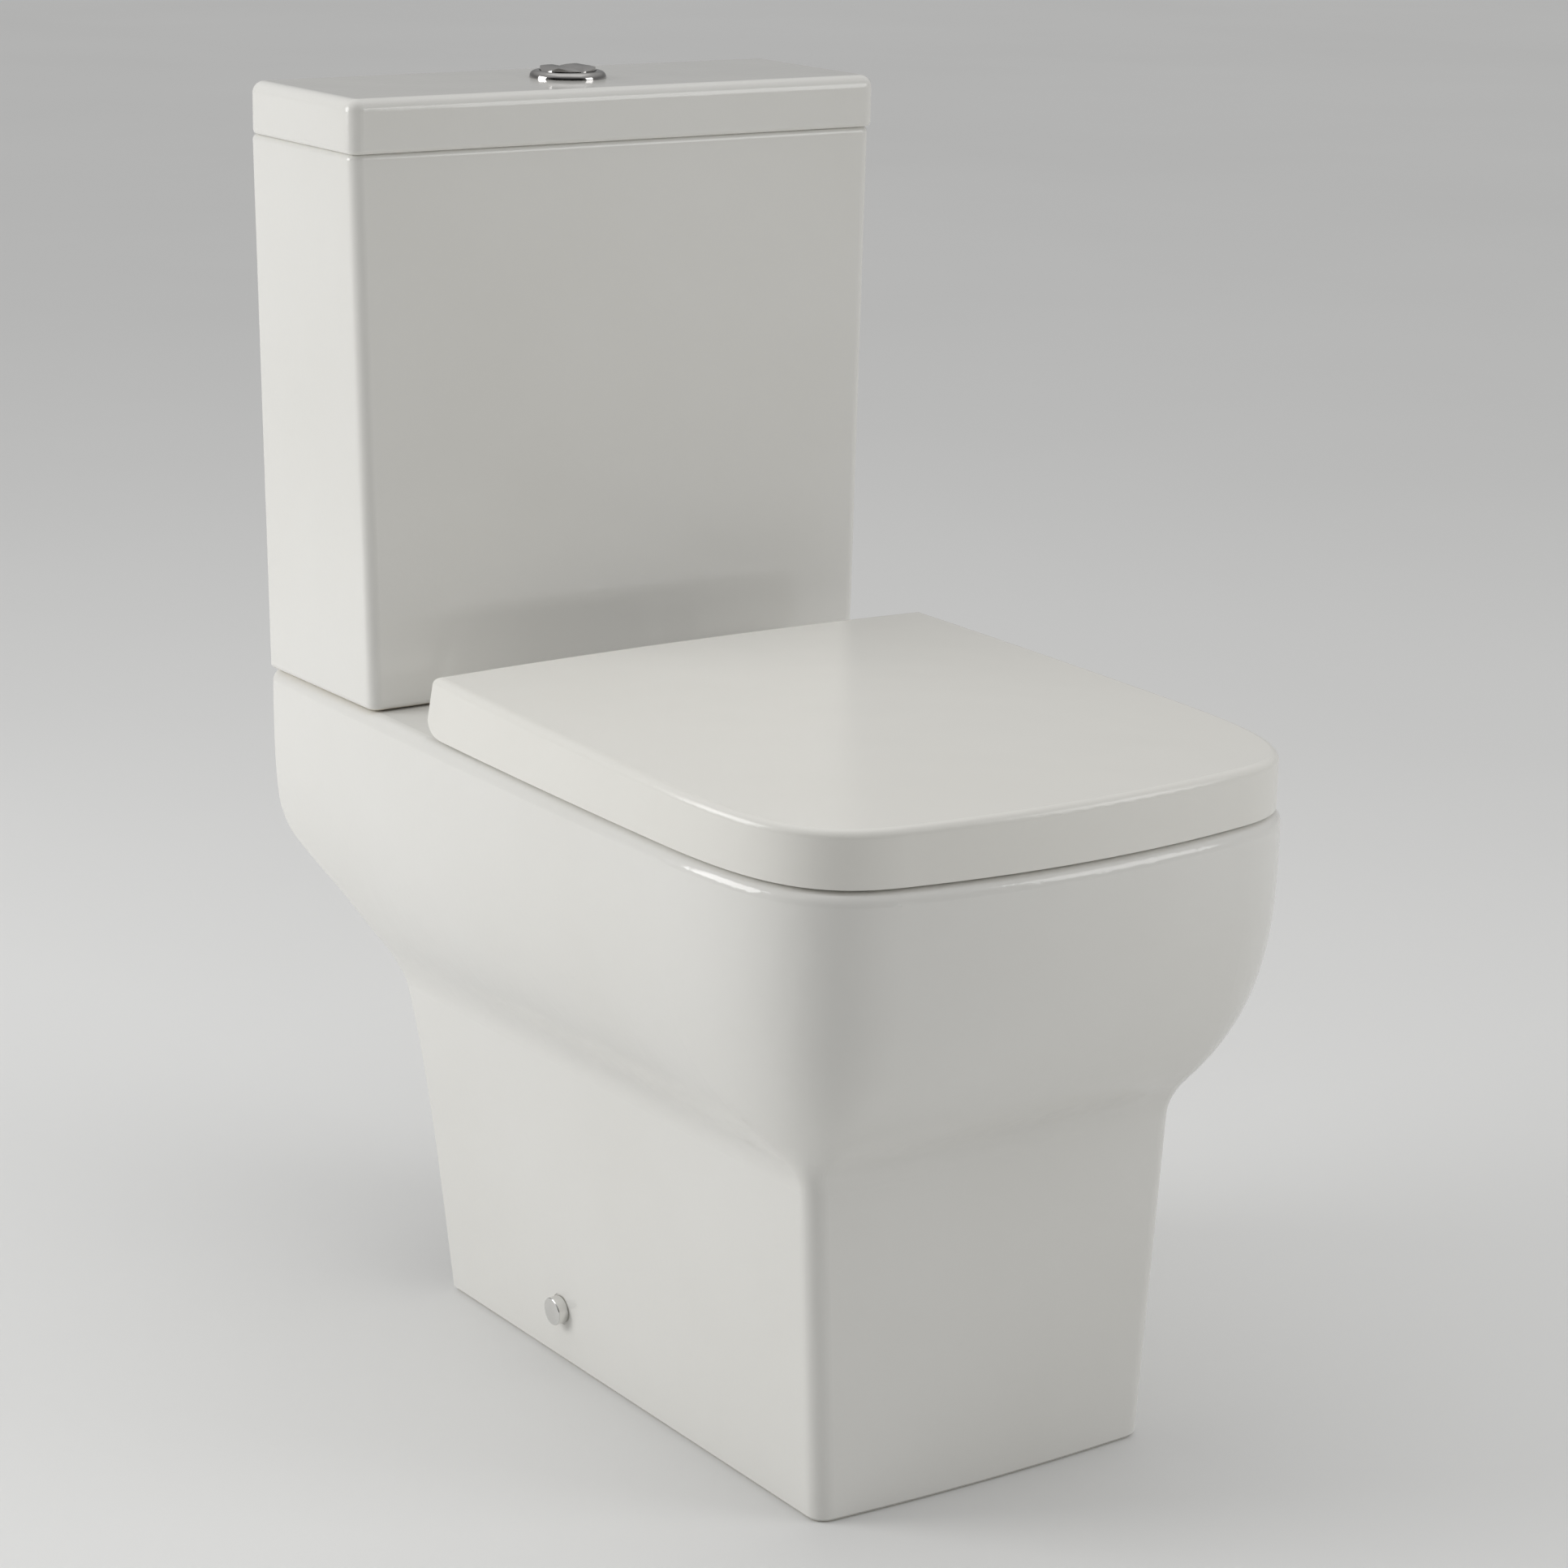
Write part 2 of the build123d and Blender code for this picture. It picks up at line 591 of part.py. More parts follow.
def make_pan():
    """One china casting: shell with an open back, deck, bowl, trap, spigot and flush duct."""
    outer = pan_form(0, -CUT_PAST, 0, DECK)
    top = outer.faces().sort_by(Axis.Z)[-1]
    rim_edges = top.edges().sort_by(Axis.Y)[:-1]
    outer = fillet(rim_edges, RIM_EDGE_RADIUS)
    back_cut = extrude(Plane.YZ * back_space(), amount=RIM_WIDTH, both=True)
    outer = outer - back_cut
    shell = outer - pan_form(CHINA, -CUT_PAST, -CUT_PAST, DECK_UNDER)
    pocket_bottom = DECK - POCKET_DEPTH - POCKET_FLOOR
    shell = shell + bowl_form(CHINA)
    shell = shell + trap_form(OUTLET_RADIUS, 0)
    shell = shell + upright(POCKET_RADIUS + POCKET_WALL, pocket_bottom, DECK_UNDER + FUSE_DEPTH, 0, VALVE_Y)
    shell = shell + duct_form(DUCT_RADIUS, pocket_bottom + FUSE_DEPTH)
    shell = shell - bowl_form(0)
    shell = shell - trap_form(OUTLET_BORE, CUT_PAST)
    low = DECK_UNDER - CUT_PAST
    high = DECK + CUT_PAST
    shell = shell - upright(POCKET_RADIUS, DECK - POCKET_DEPTH, high, 0, VALVE_Y)
    shell = shell - duct_form(DUCT_BORE, DECK)
    for side in (1, -1):
        shell = shell - upright(BOLT_HOLE_RADIUS, low, high, side * BOLT_SPACING / 2, VALVE_Y)
        shell = shell - upright(SEAT_HOLE_RADIUS, low, high, side * HINGE_SPACING / 2, HINGE_Y)
    shell = shell - upright(FILL_DECK_HOLE, low, high, FILL_OFFSET, VALVE_Y)
    side_cut = bar_x(CAP_RADIUS + SPOT_MARGIN, -SPOT_DEPTH, CUT_PAST, 0, 0)
    side_cut = side_cut + bar_x(SIDE_HOLE_RADIUS, -SIDE_SCREW_LENGTH, 0, 0, 0)
    shell = shell - both_sides(fixing_place(side_cut))
    return shell


# Side fixing of the leg
def make_side_caps():
    """Round caps pushed over the side screw heads."""
    cap = bar_x(CAP_RADIUS, -SPOT_DEPTH, CAP_LENGTH, 0, 0)
    cap = fillet(cap.edges().group_by(Axis.X)[-1], CAP_EDGE)
    cap = cap - bar_x(CAP_HOLLOW_RADIUS, -CUT_PAST, CAP_HOLLOW_DEPTH, 0, 0)
    return both_sides(fixing_place(cap))


def make_side_screws():
    """Screws through the leg into the brackets."""
    screw = bar_x(SIDE_SCREW_HEAD, -SPOT_DEPTH, SIDE_SCREW_HEAD_HEIGHT, 0, 0)
    screw = screw + bar_x(SIDE_SCREW_RADIUS, -SIDE_SCREW_LENGTH, 0, 0, 0)
    return both_sides(fixing_place(screw))


def make_floor_brackets():
    """Angle brackets that stand on the floor inside the leg."""
    face = FOOT_WIDTH / 2 - CHINA - BRACKET_GAP
    half = BRACKET_WIDTH / 2
    front = FIXING_Y - half
    back = FIXING_Y + half
    inner = face - BRACKET_UPRIGHT
    toe = inner - BRACKET_BASE
    bracket = block(inner, face, front, back, 0, BRACKET_HEIGHT)
    bracket = bracket + block(toe, inner + FUSE_DEPTH, front, back, 0, BRACKET_THICKNESS)
    bracket = bracket - fixing_place(bar_x(SIDE_SCREW_RADIUS + THREAD_GAP, -SIDE_SCREW_LENGTH, 0, 0, 0))
    hole_x = toe + FLOOR_HOLE_SETBACK
    bracket = bracket - upright(FLOOR_HOLE_RADIUS, -CUT_PAST, BRACKET_THICKNESS + CUT_PAST, hole_x, FIXING_Y)
    return both_sides(bracket)


# Cistern
def tank_form(inset, bottom, top):
    """Tapered tank block between two heights, set in by a wall, still with the layer ground off its back."""
    outlines = []
    for z in (bottom, top):
        share = (z - CISTERN_BASE) / CISTERN_HEIGHT
        width = mix(CISTERN_BASE_WIDTH, CISTERN_TOP_WIDTH, share)
        depth = mix(CISTERN_BASE_DEPTH, CISTERN_TOP_DEPTH, share) + CISTERN_BACK_GRIND
        outline = corner_plate(width - 2 * inset, depth - 2 * inset, CISTERN_CORNER, CISTERN_BACK_CORNER)
        outlines.append(Pos(0, wall_y(depth / 2 - CISTERN_BACK_GRIND), z) * outline)
    return loft(outlines, ruled=True)


def make_cistern():
    """Tank with holes for the flush valve, the fill valve, the coupling bolts and two wall screws."""
    tank = tank_form(0, CISTERN_BASE, CISTERN_TOP)
    tank = fillet(tank.faces().sort_by(Axis.Z)[0].edges(), CISTERN_BASE_EDGE)
    tank = fillet(tank.faces().sort_by(Axis.Z)[-1].edges(), CISTERN_TOP_EDGE)
    tank = tank - tank_form(CISTERN_WALL, CISTERN_INSIDE, CISTERN_TOP + CUT_PAST)
    low = CISTERN_BASE - CUT_PAST
    reach = CISTERN_TOP_WIDTH
    tank = tank - block(-reach, reach, wall_y(0), wall_y(-CUT_PAST), low, CISTERN_TOP + CUT_PAST)
    high = CISTERN_INSIDE + CUT_PAST
    tank = tank - upright(BASE_HOLE_RADIUS, low, high, 0, VALVE_Y)
    tank = tank - upright(FILL_HOLE_RADIUS, low, high, FILL_OFFSET, VALVE_Y)
    for side in (1, -1):
        tank = tank - upright(BOLT_HOLE_RADIUS, low, high, side * BOLT_SPACING / 2, VALVE_Y)
        x = side * WALL_SCREW_SPACING / 2
        z = CISTERN_BASE + WALL_SCREW_HEIGHT
        tank = tank - bar_y(WALL_SCREW_RADIUS, wall_y(CISTERN_WALL + CUT_PAST), wall_y(-CUT_PAST), x, z)
    return tank


def make_cistern_lid():
    """Lid with a hollow underside, a locating lip and the button hole."""
    centre = wall_y(LID_DEPTH / 2)
    plate = corner_plate(LID_WIDTH, LID_DEPTH, LID_CORNER, LID_BACK_CORNER)
    lid = Pos(0, centre, CISTERN_TOP) * extrude(plate, LID_HEIGHT)
    lid = fillet(lid.faces().sort_by(Axis.Z)[-1].edges(), LID_TOP_EDGE)
    lid = fillet(lid.faces().sort_by(Axis.Z)[0].edges(), LID_BOTTOM_EDGE)
    lip_width = CISTERN_TOP_WIDTH - 2 * CISTERN_WALL - 2 * LID_LIP_GAP
    lip_depth = CISTERN_TOP_DEPTH - 2 * CISTERN_WALL - 2 * LID_LIP_GAP
    lip = RectangleRounded(lip_width, lip_depth, CISTERN_CORNER / 2)
    hollow = RectangleRounded(lip_width - 2 * LID_LIP_WALL, lip_depth - 2 * LID_LIP_WALL, CISTERN_CORNER / 2)
    lip_place = Pos(0, wall_y(CISTERN_TOP_DEPTH / 2), CISTERN_TOP - LID_LIP_DEPTH)
    lid = lid + lip_place * extrude(lip, LID_LIP_DEPTH + FUSE_DEPTH)
    lid = lid - lip_place * extrude(hollow, LID_UNDER - CISTERN_TOP + LID_LIP_DEPTH)
    lid = lid - upright(SHANK_RADIUS + BUTTON_HOLE_GAP, LID_UNDER - CUT_PAST, LID_TOP + CUT_PAST, 0, VALVE_Y)
    return lid


# Close coupling kit
def wing_nut(radius, bottom):
    """Wing nut with its hub standing on a height."""
    hub = upright(WING_HUB_RADIUS, bottom, bottom + WING_HUB_HEIGHT)
    half = WING_THICKNESS / 2
    reach = WING_SPAN / 2
    wings = block(-reach, reach, -half, half, bottom - WING_HEIGHT / 2, bottom + WING_HUB_HEIGHT / 2)
    wings = fillet(wings.edges().filter_by(Axis.Y), WING_HEIGHT / 4)
    nut = hub + wings
    return nut - upright(radius + THREAD_GAP, bottom - WING_HEIGHT, bottom + WING_HUB_HEIGHT + CUT_PAST)


def make_coupling():
    """Bolts, rubbers, washers and wing nuts that clamp the cistern to the pan."""
    x = BOLT_SPACING / 2
    head_bottom = CISTERN_INSIDE + BOLT_RUBBER_HEIGHT
    washer_bottom = DECK_UNDER - BOLT_WASHER_HEIGHT
    nut_bottom = washer_bottom - WING_HUB_HEIGHT
    bolt = upright(BOLT_HEAD_RADIUS, head_bottom, head_bottom + BOLT_HEAD_HEIGHT, x, VALVE_Y)
    bolt = bolt + upright(BOLT_RADIUS, nut_bottom - BOLT_TAIL, head_bottom + FUSE_DEPTH, x, VALVE_Y)
    rubber = pipe(BOLT_RUBBER_RADIUS, BOLT_RADIUS + RUN_GAP, CISTERN_INSIDE, head_bottom, x, VALVE_Y)
    washer = pipe(BOLT_WASHER_RADIUS, BOLT_RADIUS + RUN_GAP, washer_bottom, DECK_UNDER, x, VALVE_Y)
    nut = Pos(x, VALVE_Y, 0) * Rot(0, 0, 90) * wing_nut(BOLT_RADIUS, nut_bottom)
    return both_sides(bolt), both_sides(rubber), both_sides(washer), both_sides(nut)


def make_doughnut_seal():
    """Foam ring round the back nut, between the cistern and the floor of the pocket."""
    outer = POCKET_RADIUS - DOUGHNUT_GAP
    return pipe(outer, BACK_NUT_RADIUS + DOUGHNUT_GAP, DECK - POCKET_DEPTH, CISTERN_BASE, 0, VALVE_Y)


# Flush button
def make_button_bezel():
    """Bezel with a threaded shank through the lid and a guide plate for the stems."""
    bezel = upright(BEZEL_RADIUS, LID_TOP, BEZEL_TOP, 0, VALVE_Y)
    bezel = fillet(bezel.edges().group_by(Axis.Z)[-1], BEZEL_EDGE)
    bezel = bezel + upright(SHANK_RADIUS, GUIDE_BOTTOM, LID_TOP + FUSE_DEPTH, 0, VALVE_Y)
    bezel = bezel - upright(SHANK_BORE, GUIDE_TOP, BEZEL_TOP + CUT_PAST, 0, VALVE_Y)
    low = GUIDE_BOTTOM - CUT_PAST
    high = GUIDE_TOP + CUT_PAST
    for side in (1, -1):
        bezel = bezel - upright(STEM_RADIUS + SLIDE_GAP, low, high, side * STEM_OFFSET, VALVE_Y)
    return bezel


def make_button_nut():
    """Ring nut that clamps the bezel from under the lid."""
    return pipe(NUT_RADIUS, SHANK_RADIUS + THREAD_GAP, LID_UNDER - NUT_HEIGHT, LID_UNDER, 0, VALVE_Y)


def make_button(side):
    """Domed half of the button with its stem."""
    crest = BEZEL_TOP + BUTTON_DOME
    radius = SHANK_BORE - BUTTON_GAP
    front = VALVE_Y - BEZEL_RADIUS
    back = VALVE_Y + BEZEL_RADIUS
    inner = BUTTON_CENTRE_GAP / 2
    half = upright(radius, BUTTON_BOTTOM, crest + CUT_PAST, 0, VALVE_Y)
    half = half & block(inner, BEZEL_RADIUS, front, back, BUTTON_BOTTOM, crest + CUT_PAST)
    half = half & bar_y(BUTTON_ACROSS_CURVE, front, back, (inner + radius) / 2, crest - BUTTON_ACROSS_CURVE)
    along = crest + BUTTON_ALONG_RISE - BUTTON_ALONG_CURVE
    half = half & bar_x(BUTTON_ALONG_CURVE, -BEZEL_RADIUS, BEZEL_RADIUS, VALVE_Y, along)
    half = half + upright(STEM_RADIUS, STEM_BOTTOM, BUTTON_BOTTOM + FUSE_DEPTH, STEM_OFFSET, VALVE_Y)
    return half if side > 0 else mirror(half, Plane.YZ)


def make_push_rod(side):
    """Rod from the stem down to the rocker, with a round tip."""
    tip = ROCKER_TOP + REST_GAP + PUSH_ROD_RADIUS
    rod = upright(PUSH_ROD_RADIUS, tip, STEM_BOTTOM, side * STEM_OFFSET, VALVE_Y)
    return rod + Pos(side * STEM_OFFSET, VALVE_Y, tip) * Sphere(PUSH_ROD_RADIUS)


def make_spring(side):
    """Return spring round the stem, between the guide plate and the button."""
    bottom = GUIDE_TOP + SPRING_WIRE + PIN_GAP
    height = BUTTON_BOTTOM - GUIDE_TOP - 2 * SPRING_WIRE - 2 * PIN_GAP
    coil = Helix(height / SPRING_TURNS, height, SPRING_RADIUS)
    wire = sweep(Plane(coil @ 0, z_dir=coil % 0) * Circle(SPRING_WIRE), path=coil)
    return Pos(side * STEM_OFFSET, VALVE_Y, bottom) * wire


# Flush valve
def make_valve_base():
    """Outlet seat: flange inside the cistern, thread through its floor and a raised lip."""
    tail = CISTERN_BASE - BACK_NUT_HEIGHT - BASE_TAIL
    base = upright(BASE_FLANGE_RADIUS, BASE_FLANGE_BOTTOM, BASE_FLANGE_TOP, 0, VALVE_Y)
    base = base + upright(BASE_THREAD_RADIUS, tail, BASE_FLANGE_TOP, 0, VALVE_Y)
    base = base + upright(SEAT_LIP_RADIUS, BASE_FLANGE_BOTTOM, SEAT_LIP_TOP, 0, VALVE_Y)
    return base - upright(BASE_BORE, tail - CUT_PAST, SEAT_LIP_TOP + CUT_PAST, 0, VALVE_Y)


def make_valve_base_washer():
    """Washer between the flange and the cistern floor."""
    inner = BASE_THREAD_RADIUS + RUN_GAP
    return pipe(BASE_FLANGE_RADIUS, inner, CISTERN_INSIDE, BASE_FLANGE_BOTTOM, 0, VALVE_Y)


def make_valve_back_nut():
    """Large nut under the cistern."""
    inner = BASE_THREAD_RADIUS + THREAD_GAP
    return pipe(BACK_NUT_RADIUS, inner, CISTERN_BASE - BACK_NUT_HEIGHT, CISTERN_BASE, 0, VALVE_Y)


def make_valve_cage():
    """Tower with four water windows."""
    cage = pipe(CAGE_RADIUS, CAGE_RADIUS - CAGE_WALL, BASE_FLANGE_TOP, HEAD_BOTTOM, 0, VALVE_Y)
    sill = BASE_FLANGE_TOP + WINDOW_SILL
    half = WINDOW_WIDTH / 2
    reach = BASE_FLANGE_RADIUS
    window = block(-half, half, -reach, reach, sill, sill + WINDOW_HEIGHT)
    cage = cage - Pos(0, VALVE_Y, 0) * window
    return cage - Pos(0, VALVE_Y, 0) * Rot(0, 0, 90) * window


def lift_arm(foot):
    """Arm up from a lifted piece to a round pad over the outer end of a rocker, about the valve axis."""
    pad = PIVOT_OFFSET + LIFT_PLACE
    pad_centre = ROCKER_TOP + REST_GAP + LIFT_PAD_RADIUS
    right = ARM_WIDTH - ARM_SHIFT
    top = pad_centre + ARM_PLATE
    post = block(-ARM_SHIFT, right, ARM_REACH, ARM_REACH + ARM_WIDTH, foot, top)
    left = -STEM_OFFSET - ROCKER_WIDTH / 2
    plate = block(left, right, ARM_REACH, pad + LIFT_PAD_RADIUS, pad_centre, top)
    return post + plate + Pos(-STEM_OFFSET, pad, pad_centre) * Sphere(LIFT_PAD_RADIUS)


def make_flush_tube():
    """Overflow tube with the bell at its foot and the lifting arm at its top."""
    foot = SEAT_LIP_TOP + SEAL_HEIGHT
    top = HEAD_BOTTOM + TUBE_TOP
    tube = upright(TUBE_RADIUS, foot, top) + upright(SEAT_LIP_RADIUS, foot, foot + BELL_HEIGHT)
    low = HEAD_TOP + ARM_RISE
    high = low + ARM_WIDTH
    tube = tube + block(-ARM_SHIFT, ARM_WIDTH - ARM_SHIFT, 0, ARM_REACH + ARM_WIDTH, low, high)
    tube = tube + lift_arm(low)
    return Pos(0, VALVE_Y, 0) * (tube - upright(TUBE_BORE, foot - CUT_PAST, top + CUT_PAST))


def make_flush_seal():
    """Soft ring under the bell."""
    return pipe(SEAT_LIP_RADIUS, BASE_BORE - SEAL_LAP, SEAT_LIP_TOP, SEAT_LIP_TOP + SEAL_HEIGHT, 0, VALVE_Y)


def make_half_float():
    """Ring float round the overflow tube with its own lifting arm."""
    top = HEAD_BOTTOM - HALF_FLOAT_DROP
    ring = pipe(HALF_FLOAT_RADIUS, HALF_FLOAT_BORE, top - HALF_FLOAT_HEIGHT, top)
    arm = lift_arm(top - ARM_WIDTH)
    return Pos(0, VALVE_Y, 0) * Rot(0, 0, 180) * (ring + arm)


def rocker_fork():
    """Two ears that carry one rocker, about the valve axis."""
    ears = Part()
    for side in (1, -1):
        near = -STEM_OFFSET + side * (ROCKER_WIDTH / 2 + REST_GAP)
        far = near + side * FORK_THICKNESS
        start, end = sorted((near, far))
        front = PIVOT_OFFSET - FORK_DEPTH / 2
        low = HEAD_TOP - FUSE_DEPTH
        ears = ears + block(start, end, front, front + FORK_DEPTH, low, PIVOT_HEIGHT + FORK_CAP)
    return ears


def make_valve_head():
    """Top of the tower: plate with guide holes and two forks."""
    low = HEAD_BOTTOM - CUT_PAST
    high = HEAD_TOP + CUT_PAST
    gap = SLIDE_GAP * 2
    left = ARM_SHIFT - ARM_WIDTH - gap
    front = -ARM_REACH - ARM_WIDTH - gap
    slot = block(left, ARM_SHIFT + gap, front, -ARM_REACH + gap, low, HEAD_TOP + gap)
    fork = rocker_fork()
    head = upright(CAGE_RADIUS, HEAD_BOTTOM, HEAD_TOP) - upright(TUBE_RADIUS + SLIDE_GAP, low, high)
    head = head + fork + Rot(0, 0, 180) * fork - slot
    hole = bar_x(PIVOT_PIN_RADIUS + PIN_GAP, -CAGE_RADIUS, 0, PIVOT_OFFSET, PIVOT_HEIGHT)
    head = head - hole - Rot(0, 0, 180) * hole
    return Pos(0, VALVE_Y, 0) * head


def make_rocker():
    """Rocker for the left button, about the valve axis."""
    half = ROCKER_WIDTH / 2
    start = PIVOT_OFFSET - ROCKER_INNER
    end = PIVOT_OFFSET + ROCKER_OUTER
    low = ROCKER_TOP - ROCKER_THICKNESS
    bar = block(-STEM_OFFSET - half, -STEM_OFFSET + half, start, end, low, ROCKER_TOP)
    return bar - bar_x(PIVOT_PIN_RADIUS + RUN_GAP, -CAGE_RADIUS, 0, PIVOT_OFFSET, PIVOT_HEIGHT)


def make_rocker_pins():
    """Pins through the forks and the rockers."""
    reach = ROCKER_WIDTH / 2 + REST_GAP + FORK_THICKNESS
    pin = bar_x(PIVOT_PIN_RADIUS, -STEM_OFFSET - reach, -STEM_OFFSET + reach, PIVOT_OFFSET, PIVOT_HEIGHT)
    other = Rot(0, 0, 180) * pin
    return Pos(0, VALVE_Y, 0) * Compound(children=[pin.solid(), other.solid()])


# Fill valve
def make_fill_body():
    """Column with its flange inside and the inlet thread below the cistern."""
    tail = CISTERN_BASE - FILL_TAIL
    body = upright(FILL_FLANGE_RADIUS, FILL_FLANGE_BOTTOM, FILL_FLANGE_TOP, FILL_OFFSET, VALVE_Y)
    body = body + upright(FILL_THREAD_RADIUS - FILL_TAIL_STEP, tail, FILL_FLANGE_TOP, FILL_OFFSET, VALVE_Y)
    nut_bottom = CISTERN_BASE - FILL_NUT_HEIGHT
    body = body + upright(FILL_THREAD_RADIUS, nut_bottom, FILL_FLANGE_TOP, FILL_OFFSET, VALVE_Y)
    body = body + upright(FILL_COLUMN_RADIUS, FILL_FLANGE_BOTTOM, FILL_CAP_BOTTOM, FILL_OFFSET, VALVE_Y)
    return body - upright(FILL_BORE, tail - CUT_PAST, FILL_CAP_BOTTOM + CUT_PAST, FILL_OFFSET, VALVE_Y)


def make_fill_washer():
    """Washer between the fill valve flange and the cistern floor."""
    inner = FILL_THREAD_RADIUS + RUN_GAP
    return pipe(FILL_FLANGE_RADIUS, inner, CISTERN_INSIDE, FILL_FLANGE_BOTTOM, FILL_OFFSET, VALVE_Y)


def make_fill_nut():
    """Hexagon nut that holds the fill valve from below."""
    hexagon = RegularPolygon(FILL_NUT_FLATS / 2, 6, major_radius=False)
    low = CISTERN_BASE - FILL_NUT_HEIGHT
    nut = Pos(FILL_OFFSET, VALVE_Y, low) * extrude(hexagon, FILL_NUT_HEIGHT)
    bore = FILL_THREAD_RADIUS + THREAD_GAP
    return nut - upright(bore, low - CUT_PAST, CISTERN_BASE + CUT_PAST, FILL_OFFSET, VALVE_Y)


def make_fill_head_cap():
    """Head on the column with the ears of the lever."""
    cap = upright(FILL_CAP_RADIUS, FILL_CAP_BOTTOM, FILL_CAP_TOP)
    near = LEVER_WIDTH / 2 + REST_GAP
    for start, end in ((near, near + FORK_DEPTH / 2), (-near - FORK_DEPTH / 2, -near)):
        left = LEVER_PIVOT_OFFSET - FORK_DEPTH / 2
        top = LEVER_HEIGHT + LEVER_PIN_RADIUS * 2
        cap = cap + block(left, left + FORK_DEPTH, start, end, FILL_CAP_TOP - FUSE_DEPTH, top)
    pin_hole = LEVER_PIN_RADIUS + PIN_GAP
    cap = cap - bar_y(pin_hole, -LEVER_WIDTH, LEVER_WIDTH, LEVER_PIVOT_OFFSET, LEVER_HEIGHT)
    return Pos(FILL_OFFSET, VALVE_Y, 0) * cap


def make_fill_lever():
    """Lever from the pivot over the head to the float rod, with an open slot."""
    half = LEVER_WIDTH / 2
    end = -FILL_ROD_OFFSET - LEVER_NOSE
    low = LEVER_HEIGHT - LEVER_THICKNESS / 2
    high = low + LEVER_THICKNESS
    slot_half = FILL_ROD_RADIUS + LEVER_SLOT_GAP
    slot = block(end, end + LEVER_SLOT_LENGTH, -slot_half, slot_half, low, high)
    lever = block(end, LEVER_PIVOT_OFFSET + LEVER_TAIL, -half, half, low, high) - slot
    lever = lever - bar_y(LEVER_PIN_RADIUS + RUN_GAP, -half, half, LEVER_PIVOT_OFFSET, LEVER_HEIGHT)
    return Pos(FILL_OFFSET, VALVE_Y, 0) * lever


def make_fill_lever_pin():
    """Pin of the fill lever."""
    reach = LEVER_WIDTH / 2 + REST_GAP + FORK_DEPTH / 2
    x = FILL_OFFSET + LEVER_PIVOT_OFFSET
    return bar_y(LEVER_PIN_RADIUS, VALVE_Y - reach, VALVE_Y + reach, x, LEVER_HEIGHT)


def make_fill_float():
    """Ring float round the column."""
    top = FILL_CAP_BOTTOM - FILL_FLOAT_DROP
    inner = FILL_COLUMN_RADIUS + FILL_FLOAT_GAP
    ring = pipe(FILL_FLOAT_RADIUS, inner, top - FILL_FLOAT_HEIGHT, top, FILL_OFFSET, VALVE_Y)
    return fillet(ring.edges().filter_by(GeomType.CIRCLE).group_by(SortBy.RADIUS)[-1], FILL_FLOAT_EDGE)


def make_fill_rod():
    """Rod on the float with the collar that lifts the lever."""
    bottom = FILL_CAP_BOTTOM - FILL_FLOAT_DROP
    x = FILL_OFFSET - FILL_ROD_OFFSET
    collar = LEVER_HEIGHT - LEVER_THICKNESS / 2 - REST_GAP
    top = LEVER_HEIGHT + LEVER_THICKNESS / 2 + FILL_ROD_TOP
    rod = upright(FILL_ROD_RADIUS, bottom, top, x, VALVE_Y)
    return rod + upright(FILL_COLLAR_RADIUS, collar - FILL_COLLAR_HEIGHT, collar, x, VALVE_Y)


# Seat
def seat_outline(z, inset, rear):
    """Plan outline shared by the seat lid and the ring, set in by a wall."""
    return plan_outline(
        z,
        LID_SEAT_REAR_WIDTH / 2 - inset,
        LID_SEAT_WIDTH / 2 - inset,
        rear,
        PAN_PROJECTION - LID_SEAT_SETBACK - inset,
        RIM_FRONT_BOW,
        RIM_CORNER_LENGTH - inset,
        RIM_CORNER_WIDTH - inset,
        RIM_CORNER_PULL_SIDE,
        RIM_CORNER_PULL_FRONT,
    )


def seat_form(inset, bottom):
    """Block of the seat lid set in by a wall: plan outline, sloped rear end and crowned sloping top."""
    base = DECK + LID_SEAT_GAP
    rear_top = DECK + LID_SEAT_REAR_HEIGHT
    spare = LID_SEAT_REAR_HEIGHT
    front = PAN_PROJECTION + CUT_PAST
    wire = seat_outline(bottom, inset, LID_SEAT_REAR - LID_SEAT_COVER)
    plan = Part() + extrude(Face(wire), amount=rear_top + spare - bottom, dir=(0, 0, 1))
    slope = (LID_SEAT_REAR_HEIGHT - LID_SEAT_FRONT_HEIGHT) / (PAN_PROJECTION - LID_SEAT_REAR_TOP)
    lean = LID_SEAT_REAR_LEAN / (rear_top - base - LID_SEAT_REAR_RISE)
    rear_low = (wall_y(LID_SEAT_REAR + inset), base + LID_SEAT_REAR_RISE)
    tuck = (wall_y(LID_SEAT_REAR + LID_SEAT_REAR_TUCK + inset), base)
    lowest = (wall_y(LID_SEAT_REAR + LID_SEAT_REAR_CUT + inset), base)
    straight = Polyline(
        lowest,
        (lowest[0], base - spare),
        (wall_y(front), base - spare),
        (wall_y(front), rear_top + spare),
        (wall_y(LID_SEAT_REAR_TOP + lean * spare + inset), rear_top + spare),
        rear_low,
    )
    side_view = make_face([straight, Bezier(rear_low, tuck, lowest)])
    profile = extrude(Plane.YZ * side_view, amount=LID_SEAT_WIDTH, both=True)
    half = LID_SEAT_WIDTH / 2 * LID_SEAT_CROWN_REACH
    drop = LID_SEAT_CROWN * LID_SEAT_CROWN_REACH**2
    arc = ThreePointArc((-half, -drop), (0, 0), (half, -drop))
    deep = -2 * spare
    crown = make_face([arc, Polyline((half, -drop), (half, deep), (-half, deep), (-half, -drop))])
    start = (0, wall_y(LID_SEAT_REAR_TOP - spare), rear_top - inset + slope * spare)
    top = extrude(Plane(start, x_dir=(1, 0, 0), z_dir=(0, -1, -slope)) * crown, amount=PAN_PROJECTION)
    return plan & profile & top


